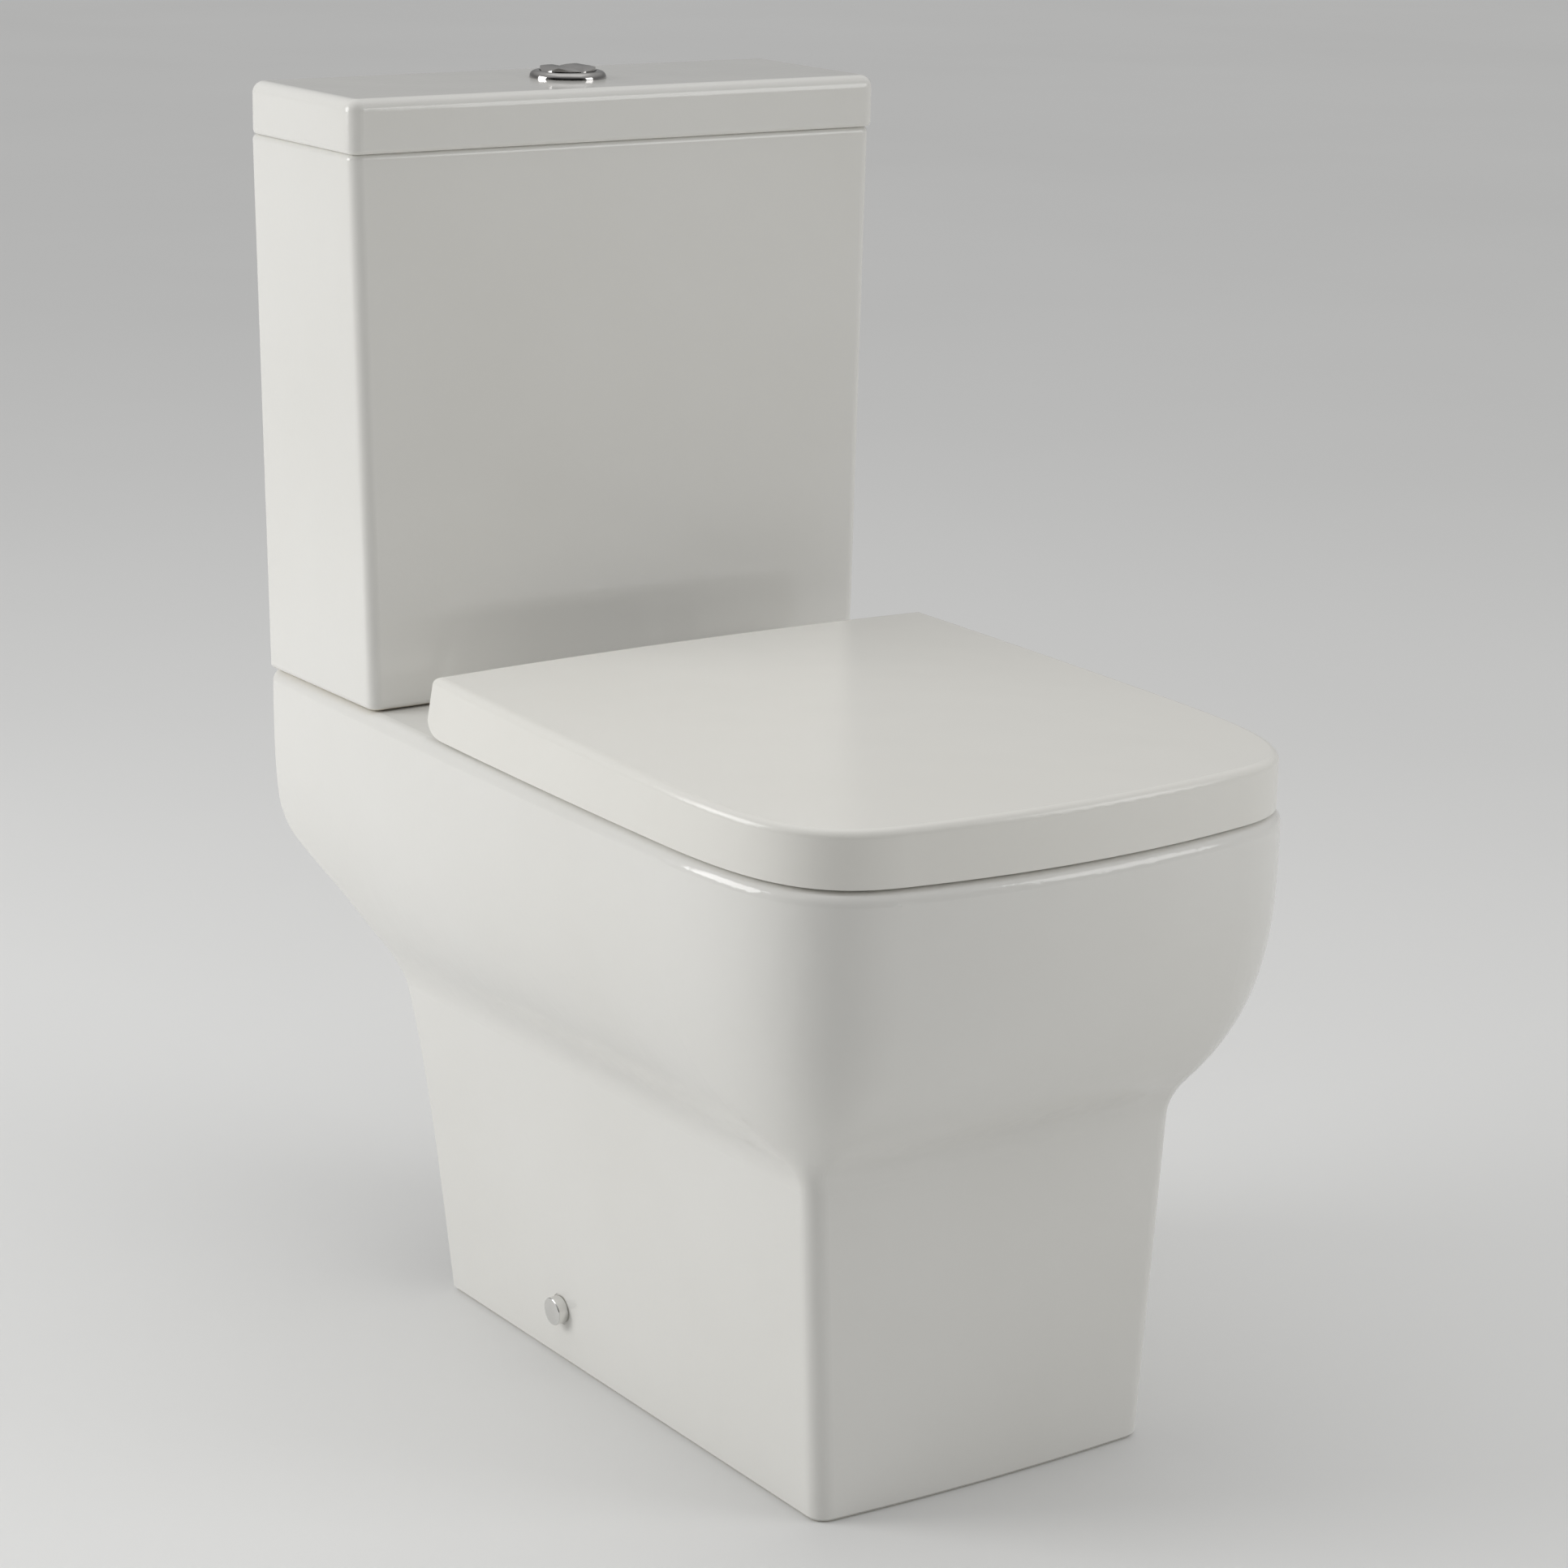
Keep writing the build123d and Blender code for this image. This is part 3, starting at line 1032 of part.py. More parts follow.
def lug_span(index):
    """Start and end along X of the ring lug (0) or the lid lug (1)."""
    start = HINGE_SPACING / 2 + HINGE_BARREL_LENGTH / 2 + HINGE_LUG_GAP
    start = start + index * (HINGE_LUG_WIDTH + HINGE_LUG_GAP)
    return start, start + HINGE_LUG_WIDTH


def make_seat_lid():
    """Lid with a skirt round the ring, open at the rear between its two lugs."""
    outer = seat_form(0, DECK + LID_SEAT_GAP)
    top = outer.faces().sort_by(Axis.Z)[-1]
    outer = fillet(top.edges(), LID_SEAT_EDGE)
    lid = outer - seat_form(LID_SEAT_THICKNESS, DECK)
    under = HINGE_HEIGHT + HINGE_BARREL_RADIUS + HINGE_ROOM
    start, end = lug_span(1)
    notch = start - HINGE_LUG_GAP / 2
    lid = lid - block(-notch, notch, wall_y(RING_REAR), wall_y(LID_SEAT_REAR - CUT_PAST), DECK, under)
    front = HINGE_Y - HINGE_LUG_RADIUS
    back = HINGE_Y + HINGE_LUG_RADIUS
    for side in (1, -1):
        low, high = sorted((side * start, side * end))
        lug = bar_x(HINGE_LUG_RADIUS, low, high, HINGE_Y, HINGE_HEIGHT)
        lug = lug + block(low, high, front, back, HINGE_HEIGHT, under + FUSE_DEPTH)
        lid = lid + lug - bar_x(HINGE_PIN_RADIUS + RUN_GAP, low, high, HINGE_Y, HINGE_HEIGHT)
    return lid


def make_lid_buffers():
    """Four pads under the lid that rest on the ring."""
    room = seat_form(LID_SEAT_THICKNESS, DECK)
    top = DECK + LID_SEAT_REAR_HEIGHT
    pads = []
    for side in (1, -1):
        for distance in (LID_BUFFER_REAR, LID_BUFFER_FRONT):
            pad = upright(LID_BUFFER_RADIUS, RING_TOP + REST_GAP, top, side * LID_BUFFER_X, wall_y(distance))
            pads.append((pad & room).solid())
    return Compound(children=pads)


def make_seat_ring():
    """Ring with rounded edges and two lugs at the rear."""
    wire = seat_outline(RING_BOTTOM, RING_INSET, RING_REAR)
    ring = Part() + extrude(Face(wire), amount=RING_THICKNESS, dir=(0, 0, 1))
    ring = fillet(ring.edges().filter_by(Axis.Z).sort_by(Axis.Y)[-2:], RING_REAR_CORNER)
    opening = RectangleRounded(RING_OPENING_WIDTH, RING_OPENING_LENGTH, RING_OPENING_CORNER)
    ring = ring - Pos(0, wall_y(RING_OPENING_CENTRE), RING_BOTTOM) * extrude(opening, RING_THICKNESS)
    ring = fillet(ring.faces().sort_by(Axis.Z)[-1].edges(), RING_EDGE)
    start, end = lug_span(0)
    front = wall_y(RING_REAR + RING_LUG_INSET)
    for side in (1, -1):
        low, high = sorted((side * start, side * end))
        lug = bar_x(HINGE_LUG_RADIUS, low, high, HINGE_Y, HINGE_HEIGHT)
        lug = lug + block(low, high, front, HINGE_Y, RING_BOTTOM + RING_LUG_RISE, HINGE_HEIGHT)
        ring = ring + lug - bar_x(HINGE_PIN_RADIUS + RUN_GAP, low, high, HINGE_Y, HINGE_HEIGHT)
    return ring


def make_ring_buffers():
    """Four pads under the ring that rest on the rim."""
    pads = []
    for side in (1, -1):
        for distance in (RING_BUFFER_REAR, RING_BUFFER_FRONT):
            pad = upright(RING_BUFFER_RADIUS, DECK, RING_BOTTOM, side * RING_BUFFER_X, wall_y(distance))
            pads.append(pad.solid())
    return Compound(children=pads)


# Seat hinges
def make_hinge_posts():
    """Posts on the deck with a cross barrel for the pin."""
    x = HINGE_SPACING / 2
    half = HINGE_BARREL_LENGTH / 2
    post = upright(HINGE_BASE_RADIUS, DECK, DECK + HINGE_BASE_HEIGHT, x, HINGE_Y)
    post = post + upright(HINGE_COLUMN_RADIUS, DECK, HINGE_HEIGHT, x, HINGE_Y)
    post = post + bar_x(HINGE_BARREL_RADIUS, x - half, x + half, HINGE_Y, HINGE_HEIGHT)
    post = post - bar_x(HINGE_PIN_RADIUS + PIN_GAP, x - half, x + half, HINGE_Y, HINGE_HEIGHT)
    post = post - upright(SEAT_BOLT_RADIUS + PIN_GAP, DECK - CUT_PAST, DECK + SEAT_BOLT_GRIP, x, HINGE_Y)
    return both_sides(post)


def make_hinge_pins():
    """Pins through the posts, the ring lugs and the lid lugs."""
    start = HINGE_SPACING / 2 - HINGE_BARREL_LENGTH / 2
    return both_sides(bar_x(HINGE_PIN_RADIUS, start, lug_span(1)[1], HINGE_Y, HINGE_HEIGHT))


def make_seat_fixings():
    """Studs, bushes and wing nuts that hold the posts."""
    x = HINGE_SPACING / 2
    stud_top = DECK + SEAT_BOLT_GRIP - REST_GAP
    stud = upright(SEAT_BOLT_RADIUS, stud_top - SEAT_BOLT_LENGTH, stud_top, x, HINGE_Y)
    bush_bottom = DECK_UNDER - SEAT_BUSH_HEIGHT
    bush = pipe(SEAT_BUSH_RADIUS, SEAT_BOLT_RADIUS + RUN_GAP, bush_bottom, DECK_UNDER, x, HINGE_Y)
    nut = Pos(x, HINGE_Y, 0) * Rot(0, 0, 90) * wing_nut(SEAT_BOLT_RADIUS, bush_bottom - WING_HUB_HEIGHT)
    return both_sides(stud), both_sides(bush), both_sides(nut)


# Every piece goes out as its own file
bolts, bolt_rubbers, bolt_washers, wing_nuts = make_coupling()
seat_bolts, seat_bushes, seat_wing_nuts = make_seat_fixings()
full_rocker = Pos(0, VALVE_Y, 0) * make_rocker()
half_rocker = Pos(0, VALVE_Y, 0) * Rot(0, 0, 180) * make_rocker()

export_step(make_pan(), "parts/pan.step")
export_step(make_floor_brackets(), "parts/floor_brackets.step")
export_step(make_side_screws(), "parts/side_screws.step")
export_step(make_side_caps(), "parts/side_caps.step")
export_step(make_cistern(), "parts/cistern.step")
export_step(make_cistern_lid(), "parts/cistern_lid.step")
export_step(make_doughnut_seal(), "parts/doughnut_seal.step")
export_step(bolts, "parts/cistern_bolts.step")
export_step(bolt_rubbers, "parts/cistern_bolt_rubbers.step")
export_step(bolt_washers, "parts/cistern_bolt_washers.step")
export_step(wing_nuts, "parts/cistern_wing_nuts.step")
export_step(make_button_bezel(), "parts/button_bezel.step")
export_step(make_button_nut(), "parts/button_nut.step")
export_step(make_button(-1), "parts/full_button.step")
export_step(make_button(1), "parts/half_button.step")
export_step(make_push_rod(-1), "parts/full_push_rod.step")
export_step(make_push_rod(1), "parts/half_push_rod.step")
export_step(make_spring(-1), "parts/full_spring.step")
export_step(make_spring(1), "parts/half_spring.step")
export_step(make_valve_base(), "parts/valve_base.step")
export_step(make_valve_base_washer(), "parts/valve_base_washer.step")
export_step(make_valve_back_nut(), "parts/valve_back_nut.step")
export_step(make_valve_cage(), "parts/valve_cage.step")
export_step(make_valve_head(), "parts/valve_head.step")
export_step(make_rocker_pins(), "parts/rocker_pins.step")
export_step(full_rocker, "parts/full_rocker.step")
export_step(half_rocker, "parts/half_rocker.step")
export_step(make_flush_tube(), "parts/flush_tube.step")
export_step(make_flush_seal(), "parts/flush_seal.step")
export_step(make_half_float(), "parts/half_float.step")
export_step(make_fill_body(), "parts/fill_body.step")
export_step(make_fill_washer(), "parts/fill_washer.step")
export_step(make_fill_nut(), "parts/fill_nut.step")
export_step(make_fill_head_cap(), "parts/fill_head_cap.step")
export_step(make_fill_lever(), "parts/fill_lever.step")
export_step(make_fill_lever_pin(), "parts/fill_lever_pin.step")
export_step(make_fill_float(), "parts/fill_float.step")
export_step(make_fill_rod(), "parts/fill_rod.step")
export_step(make_seat_lid(), "parts/seat_lid.step")
export_step(make_lid_buffers(), "parts/lid_buffers.step")
export_step(make_seat_ring(), "parts/seat_ring.step")
export_step(make_ring_buffers(), "parts/ring_buffers.step")
export_step(make_hinge_posts(), "parts/hinge_posts.step")
export_step(make_hinge_pins(), "parts/hinge_pins.step")
export_step(seat_bolts, "parts/seat_bolts.step")
export_step(seat_bushes, "parts/seat_bushes.step")
export_step(seat_wing_nuts, "parts/seat_wing_nuts.step")
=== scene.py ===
import math

import bmesh
import bpy
from mathutils import Matrix, Vector


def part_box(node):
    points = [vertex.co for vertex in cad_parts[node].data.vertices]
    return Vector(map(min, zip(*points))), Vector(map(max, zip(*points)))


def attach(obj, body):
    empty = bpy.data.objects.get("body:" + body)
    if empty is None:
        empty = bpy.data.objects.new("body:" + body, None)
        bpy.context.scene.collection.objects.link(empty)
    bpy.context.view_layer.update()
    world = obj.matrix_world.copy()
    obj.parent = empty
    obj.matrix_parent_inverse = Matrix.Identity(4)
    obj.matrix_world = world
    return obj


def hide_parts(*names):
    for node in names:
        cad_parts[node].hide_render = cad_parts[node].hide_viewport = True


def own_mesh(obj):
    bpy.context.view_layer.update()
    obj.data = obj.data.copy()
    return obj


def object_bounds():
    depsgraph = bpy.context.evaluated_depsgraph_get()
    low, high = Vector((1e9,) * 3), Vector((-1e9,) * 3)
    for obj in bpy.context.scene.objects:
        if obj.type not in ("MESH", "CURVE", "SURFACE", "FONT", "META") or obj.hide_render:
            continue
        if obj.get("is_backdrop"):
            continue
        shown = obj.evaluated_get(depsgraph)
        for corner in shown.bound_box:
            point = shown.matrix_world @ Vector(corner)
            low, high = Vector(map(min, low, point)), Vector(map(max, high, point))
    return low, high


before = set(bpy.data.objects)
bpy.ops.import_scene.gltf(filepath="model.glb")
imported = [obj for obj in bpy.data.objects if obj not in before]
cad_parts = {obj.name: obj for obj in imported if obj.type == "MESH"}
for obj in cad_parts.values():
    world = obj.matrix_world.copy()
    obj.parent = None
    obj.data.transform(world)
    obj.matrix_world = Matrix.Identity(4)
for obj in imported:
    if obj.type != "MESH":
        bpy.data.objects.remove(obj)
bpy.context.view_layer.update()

# Pan. One hollow casting of vitreous china with the bowl, the trap and the flush duct in it.
# It is sprayed with white glaze and fired, and the glaze pulls into slow ripples as it melts.
# The foot that stood on the kiln shelf is wiped bare and stays matt.
GLAZE_LIGHT = (0.832, 0.824, 0.792)
GLAZE_DEEP = (0.802, 0.792, 0.754)
GLAZE_GLOSS = (0.075, 0.120)
GLAZE_IOR = 1.52
BARE_WARE = (0.66, 0.61, 0.52)
BARE_ROUGHNESS = 0.75
BARE_FADE = 0.0004
BARE_EDGE_SCALE = 90.0
PAN_BARE_BELOW = 0.0002
DRIFT_DETAIL = 4.0
DRIFT_SPREAD = {"From Min": 0.32, "From Max": 0.68}
WAVE_DETAIL = 1.0
GRAIN_DETAIL = 2.0


def new_group(name, inputs, outputs):
    """Empty shader node group with its named sockets."""
    group = bpy.data.node_groups.new(name, "ShaderNodeTree")
    kinds = {"value": "NodeSocketFloat", "colour": "NodeSocketColor"}
    for label, kind in inputs:
        group.interface.new_socket(label, in_out="INPUT", socket_type=kinds[kind])
    for label, kind in outputs:
        group.interface.new_socket(label, in_out="OUTPUT", socket_type=kinds[kind])
    return group, group.nodes.new("NodeGroupInput"), group.nodes.new("NodeGroupOutput")


def noise_on(tree, scale_socket, detail):
    """Noise on the object's own coordinates, its scale led in from a socket."""
    place = tree.nodes.new("ShaderNodeTexCoord")
    noise = tree.nodes.new("ShaderNodeTexNoise")
    noise.inputs["Detail"].default_value = detail
    tree.links.new(place.outputs["Object"], noise.inputs["Vector"])
    tree.links.new(scale_socket, noise.inputs["Scale"])
    return noise.outputs["Fac"]


def mix_between(tree, kind, share, low, high):
    """Mix of one kind of data, each end either a socket or a fixed value."""
    mixer = tree.nodes.new("ShaderNodeMix")
    mixer.data_type = kind
    low_place, high_place, result_place = {"FLOAT": (2, 3, 0), "RGBA": (6, 7, 2)}[kind]
    tree.links.new(share, mixer.inputs[0])
    for place, end in ((low_place, low), (high_place, high)):
        if isinstance(end, bpy.types.NodeSocket):
            tree.links.new(end, mixer.inputs[place])
        else:
            mixer.inputs[place].default_value = end
    return mixer.outputs[result_place]


def calculate(tree, operation, first, second):
    """Result of one sum on two sockets."""
    node = tree.nodes.new("ShaderNodeMath")
    node.operation = operation
    tree.links.new(first, node.inputs[0])
    tree.links.new(second, node.inputs[1])
    return node.outputs["Value"]


def make_slow_drift():
    """Colour and gloss that wander slowly over a surface."""
    group, start, end = new_group(
        "slow_drift",
        [
            ("Scale", "value"),
            ("Light", "colour"),
            ("Deep", "colour"),
            ("Smooth", "value"),
            ("Dull", "value"),
        ],
        [("Colour", "colour"), ("Roughness", "value")],
    )
    spread = group.nodes.new("ShaderNodeMapRange")
    for label, value in DRIFT_SPREAD.items():
        spread.inputs[label].default_value = value
    noise = noise_on(group, start.outputs["Scale"], DRIFT_DETAIL)
    group.links.new(noise, spread.inputs["Value"])
    share = spread.outputs["Result"]
    colour = mix_between(group, "RGBA", share, start.outputs["Light"], start.outputs["Deep"])
    gloss = mix_between(group, "FLOAT", share, start.outputs["Smooth"], start.outputs["Dull"])
    group.links.new(colour, end.inputs["Colour"])
    group.links.new(gloss, end.inputs["Roughness"])
    return group


def make_fine_relief():
    """Height of slow waves with a fine grain on them."""
    group, start, end = new_group(
        "fine_relief",
        [("Wave scale", "value"), ("Grain scale", "value"), ("Grain share", "value")],
        [("Height", "value")],
    )
    wave = noise_on(group, start.outputs["Wave scale"], WAVE_DETAIL)
    grain = noise_on(group, start.outputs["Grain scale"], GRAIN_DETAIL)
    height = mix_between(group, "FLOAT", start.outputs["Grain share"], wave, grain)
    group.links.new(height, end.inputs["Height"])
    return group


def make_bare_ware():
    """Mask of the china below one height, where the glaze is wiped off, with an uneven edge."""
    group, start, end = new_group(
        "bare_ware",
        [("Height", "value"), ("Fade", "value"), ("Edge scale", "value")],
        [("Mask", "value")],
    )
    noise = noise_on(group, start.outputs["Edge scale"], GRAIN_DETAIL)
    place = group.nodes.new("ShaderNodeTexCoord")
    parts = group.nodes.new("ShaderNodeSeparateXYZ")
    group.links.new(place.outputs["Object"], parts.inputs["Vector"])
    swing = calculate(group, "MULTIPLY", noise, start.outputs["Fade"])
    level = calculate(group, "ADD", start.outputs["Height"], swing)
    below = calculate(group, "LESS_THAN", parts.outputs["Z"], level)
    group.links.new(below, end.inputs["Mask"])
    return group


slow_drift = make_slow_drift()
fine_relief = make_fine_relief()
bare_ware = make_bare_ware()


def place_group(tree, group, values):
    """One use of a node group in a material, with its own values."""
    node = tree.nodes.new("ShaderNodeGroup")
    node.node_tree = group
    for label, value in values.items():
        node.inputs[label].default_value = (*value, 1) if isinstance(value, tuple) else value
    return node


def new_finish(name, light, deep, gloss, drift_scale, metallic=0.0):
    """Finish whose colour and gloss drift between two values."""
    finish = bpy.data.materials.new(name)
    finish.use_nodes = True
    tree = finish.node_tree
    shader = tree.nodes["Principled BSDF"]
    smooth, dull = gloss
    tint = {"Scale": drift_scale, "Light": light, "Deep": deep, "Smooth": smooth, "Dull": dull}
    drift = place_group(tree, slow_drift, tint)
    drift.name = "drift"
    tree.links.new(drift.outputs["Colour"], shader.inputs["Base Color"])
    tree.links.new(drift.outputs["Roughness"], shader.inputs["Roughness"])
    shader.inputs["Metallic"].default_value = metallic
    return finish


def add_bump(finish, height, depth):
    """Leads a height into the normal of a finish."""
    tree = finish.node_tree
    bump = tree.nodes.new("ShaderNodeBump")
    bump.inputs["Strength"].default_value = 1.0
    bump.inputs["Distance"].default_value = depth
    tree.links.new(height, bump.inputs["Height"])
    tree.links.new(bump.outputs["Normal"], tree.nodes["Principled BSDF"].inputs["Normal"])


def add_relief(finish, wave_scale, grain_scale, grain_share, depth):
    """Gives a finish slow waves with a fine grain on them."""
    waves = {"Wave scale": wave_scale, "Grain scale": grain_scale, "Grain share": grain_share}
    relief = place_group(finish.node_tree, fine_relief, waves)
    add_bump(finish, relief.outputs["Height"], depth)


def glazed_china(name, bare_below):
    """White glazed china, bare and matt below one height."""
    finish = new_finish(name, light=GLAZE_LIGHT, deep=GLAZE_DEEP, gloss=GLAZE_GLOSS, drift_scale=4.0)
    add_relief(finish, wave_scale=11.0, grain_scale=260.0, grain_share=0.06, depth=0.0007)
    tree = finish.node_tree
    shader = tree.nodes["Principled BSDF"]
    shader.inputs["IOR"].default_value = GLAZE_IOR
    drift = tree.nodes["drift"].outputs
    edge = {"Height": bare_below, "Fade": BARE_FADE, "Edge scale": BARE_EDGE_SCALE}
    bare = place_group(tree, bare_ware, edge).outputs["Mask"]
    colour = mix_between(tree, "RGBA", bare, drift["Colour"], (*BARE_WARE, 1))
    gloss = mix_between(tree, "FLOAT", bare, drift["Roughness"], BARE_ROUGHNESS)
    tree.links.new(colour, shader.inputs["Base Color"])
    tree.links.new(gloss, shader.inputs["Roughness"])
    return finish


def dress(finish, *nodes):
    """Gives a finish to carried over nodes."""
    for node in nodes:
        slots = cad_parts[node].data.materials
        slots.clear()
        slots.append(finish)


dress(glazed_china("pan_china", PAN_BARE_BELOW), "pan")

# Floor brackets. Moulded nylon angles screwed to the floor inside the leg.
# They are plain grey and slightly matt, and stay out of sight once the pan stands over them.
MOULDED_GREY = (0.235, 0.240, 0.250)
MOULDED_GREY_DEEP = (0.205, 0.208, 0.216)
MOULDED_GLOSS = (0.34, 0.46)
grey_plastic = new_finish(
    "grey_plastic", light=MOULDED_GREY, deep=MOULDED_GREY_DEEP, gloss=MOULDED_GLOSS, drift_scale=22.0
)
add_relief(grey_plastic, wave_scale=60.0, grain_scale=2200.0, grain_share=0.5, depth=0.00012)
dress(grey_plastic, "floor_brackets")

# Side screws. Zinc plated steel screws through the leg into the brackets.
# The plating is thin and bluish, with a faint crystalline mottle.
ZINC_LIGHT = (0.66, 0.67, 0.68)
ZINC_DEEP = (0.55, 0.55, 0.53)
ZINC_GLOSS = (0.26, 0.42)
zinc_steel = new_finish(
    "zinc_steel", light=ZINC_LIGHT, deep=ZINC_DEEP, gloss=ZINC_GLOSS, drift_scale=140.0, metallic=1.0
)
add_relief(zinc_steel, wave_scale=320.0, grain_scale=2600.0, grain_share=0.4, depth=0.00008)
dress(zinc_steel, "side_screws")

# Side caps. Chromed plastic caps pushed over the heads of the side screws.
# The chrome is mirror bright, with the soft waviness of plating on a moulding.
CHROME_LIGHT = (0.81, 0.805, 0.79)
CHROME_DEEP = (0.75, 0.745, 0.73)
CHROME_GLOSS = (0.045, 0.085)


def plated(name, light, deep):
    """Bright plating over a moulding."""
    finish = new_finish(name, light, deep, gloss=CHROME_GLOSS, drift_scale=60.0, metallic=1.0)
    add_relief(finish, wave_scale=70.0, grain_scale=1500.0, grain_share=0.05, depth=0.00006)
    return finish


chrome = plated("chrome", CHROME_LIGHT, CHROME_DEEP)
dress(chrome, "side_caps")

# Cistern. A tapered china tank with a flat ground back, bolted down on the deck of the pan.
# It has the same glaze as the pan, and its floor is bare where it stood in the kiln.
CISTERN_BARE_OVER_BASE = 0.0008
cistern_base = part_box("cistern")[0].z
dress(glazed_china("cistern_china", cistern_base + CISTERN_BARE_OVER_BASE), "cistern")

# Doughnut seal. A ring of black closed cell foam round the back nut of the flush valve.
# It is cut from thick sheet, and the bolts squeeze it between the cistern and the pan's pocket.
FOAM_LIGHT = (0.030, 0.030, 0.031)
FOAM_DEEP = (0.014, 0.014, 0.015)
FOAM_GLOSS = (0.82, 0.95)
FOAM_PORE_SCALE = 900.0
FOAM_PORE_DEPTH = 0.0003
FOAM_SLACK = 0.0006
FOAM_SIDES = 96
FOAM_WALL_CUTS = 2
FOAM_EDGE = 0.003
FOAM_EDGE_STEPS = 5
FOAM_SWELL = 0.0008
FOAM_SWELL_SIZE = 0.018
FOAM_SWELL_MIDDLE = 0.9
END_FACE_TURN = 0.9
SHARP_EDGE_ANGLE = 1.0


def add_mesh(name, adder, **settings):
    """Adds a primitive with nothing else selected, and puts its place into its mesh."""
    bpy.ops.object.select_all(action="DESELECT")
    adder(**settings)
    piece = bpy.context.object
    piece.name = name
    piece.data.name = name
    bpy.ops.object.transform_apply(location=True, rotation=True, scale=True)
    return piece


def edit_pick(piece, kind, test):
    """Goes into edit mode and selects the faces or edges that a test says."""
    bpy.context.view_layer.objects.active = piece
    bpy.ops.object.mode_set(mode="EDIT")
    bpy.ops.mesh.select_mode(type=kind)
    bpy.ops.mesh.select_all(action="DESELECT")
    mesh = bmesh.from_edit_mesh(piece.data)
    for part in mesh.faces if kind == "FACE" else mesh.edges:
        if test(part):
            part.select_set(True)
    mesh.select_flush_mode()
    bmesh.update_edit_mesh(piece.data)


def edit_done():
    """Leaves edit mode with the faces pointing outwards."""
    bpy.ops.mesh.select_all(action="SELECT")
    bpy.ops.mesh.normals_make_consistent(inside=False)
    bpy.ops.object.mode_set(mode="OBJECT")


def apply_modifier(piece, kind, **settings):
    """Adds a modifier with its settings and applies it."""
    bpy.context.view_layer.objects.active = piece
    modifier = piece.modifiers.new(kind.lower(), kind)
    for label, value in settings.items():
        setattr(modifier, label, value)
    bpy.ops.object.modifier_apply(modifier=modifier.name)


foam = new_finish("foam", light=FOAM_LIGHT, deep=FOAM_DEEP, gloss=FOAM_GLOSS, drift_scale=45.0)
pores = foam.node_tree.nodes.new("ShaderNodeTexVoronoi")
pores.inputs["Scale"].default_value = FOAM_PORE_SCALE
pore_place = foam.node_tree.nodes.new("ShaderNodeTexCoord")
foam.node_tree.links.new(pore_place.outputs["Object"], pores.inputs["Vector"])
add_bump(foam, pores.outputs["Distance"], FOAM_PORE_DEPTH)

seal_low, seal_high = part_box("doughnut_seal")
nut_low, nut_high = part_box("valve_back_nut")
seal_outer = (seal_high.x - seal_low.x) / 2 - FOAM_SLACK
seal_inner = (nut_high.x - nut_low.x) / 2 + 2 * FOAM_SLACK
seal_height = seal_high.z - seal_low.z - FOAM_SLACK
foam_seal = add_mesh(
    "foam_seal",
    bpy.ops.mesh.primitive_cylinder_add,
    vertices=FOAM_SIDES,
    radius=seal_outer,
    depth=seal_height,
    location=(seal_low + seal_high) / 2,
)
edit_pick(foam_seal, "FACE", lambda face: abs(face.normal.z) > END_FACE_TURN)
bpy.ops.mesh.inset(thickness=seal_outer - seal_inner)
bpy.ops.mesh.bridge_edge_loops(number_cuts=FOAM_WALL_CUTS)
edit_pick(
    foam_seal,
    "EDGE",
    lambda edge: edge.is_manifold and edge.calc_face_angle() > SHARP_EDGE_ANGLE,
)
bpy.ops.mesh.bevel(offset=FOAM_EDGE, segments=FOAM_EDGE_STEPS, affect="EDGES")
edit_done()
apply_modifier(foam_seal, "SUBSURF", levels=1, render_levels=1)
foam_cloud = bpy.data.textures.new("foam_cloud", "CLOUDS")
foam_cloud.noise_scale = FOAM_SWELL_SIZE
apply_modifier(
    foam_seal, "DISPLACE", texture=foam_cloud, strength=FOAM_SWELL, mid_level=FOAM_SWELL_MIDDLE
)
bpy.ops.object.shade_smooth()
foam_seal.data.materials.append(foam)
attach(foam_seal, "pan_and_cistern")
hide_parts("doughnut_seal")

# Cistern bolts. Two zinc plated bolts with washers, coned rubbers and nylon wing nuts.
# They hang through the floor of the cistern and the deck of the pan and pull the two together.
RUBBER_LIGHT = (0.030, 0.029, 0.028)
RUBBER_DEEP = (0.018, 0.018, 0.018)
RUBBER_GLOSS = (0.52, 0.72)
rubber = new_finish("rubber", light=RUBBER_LIGHT, deep=RUBBER_DEEP, gloss=RUBBER_GLOSS, drift_scale=55.0)
add_relief(rubber, wave_scale=120.0, grain_scale=2400.0, grain_share=0.6, depth=0.0001)
dress(zinc_steel, "cistern_bolts", "cistern_bolt_washers")
dress(rubber, "cistern_bolt_rubbers")
dress(grey_plastic, "cistern_wing_nuts")

# Flush valve. A moulded valve that stands in the outlet of the cistern, held by a back nut below.
# The body is milky white plastic, the rockers that lift it are blue, and the seal is black rubber.
VALVE_LIGHT = (0.76, 0.765, 0.76)
VALVE_DEEP = (0.71, 0.715, 0.71)
VALVE_GLOSS = (0.30, 0.42)
BLUE_LIGHT = (0.055, 0.170, 0.420)
BLUE_DEEP = (0.045, 0.140, 0.360)
BLUE_GLOSS = (0.28, 0.40)
white_plastic = new_finish(
    "white_plastic", light=VALVE_LIGHT, deep=VALVE_DEEP, gloss=VALVE_GLOSS, drift_scale=25.0
)
blue_plastic = new_finish(
    "blue_plastic", light=BLUE_LIGHT, deep=BLUE_DEEP, gloss=BLUE_GLOSS, drift_scale=30.0
)
for moulding in (white_plastic, blue_plastic):
    add_relief(moulding, wave_scale=70.0, grain_scale=2000.0, grain_share=0.45, depth=0.0001)
dress(white_plastic, "valve_base", "valve_cage", "valve_head", "flush_tube")
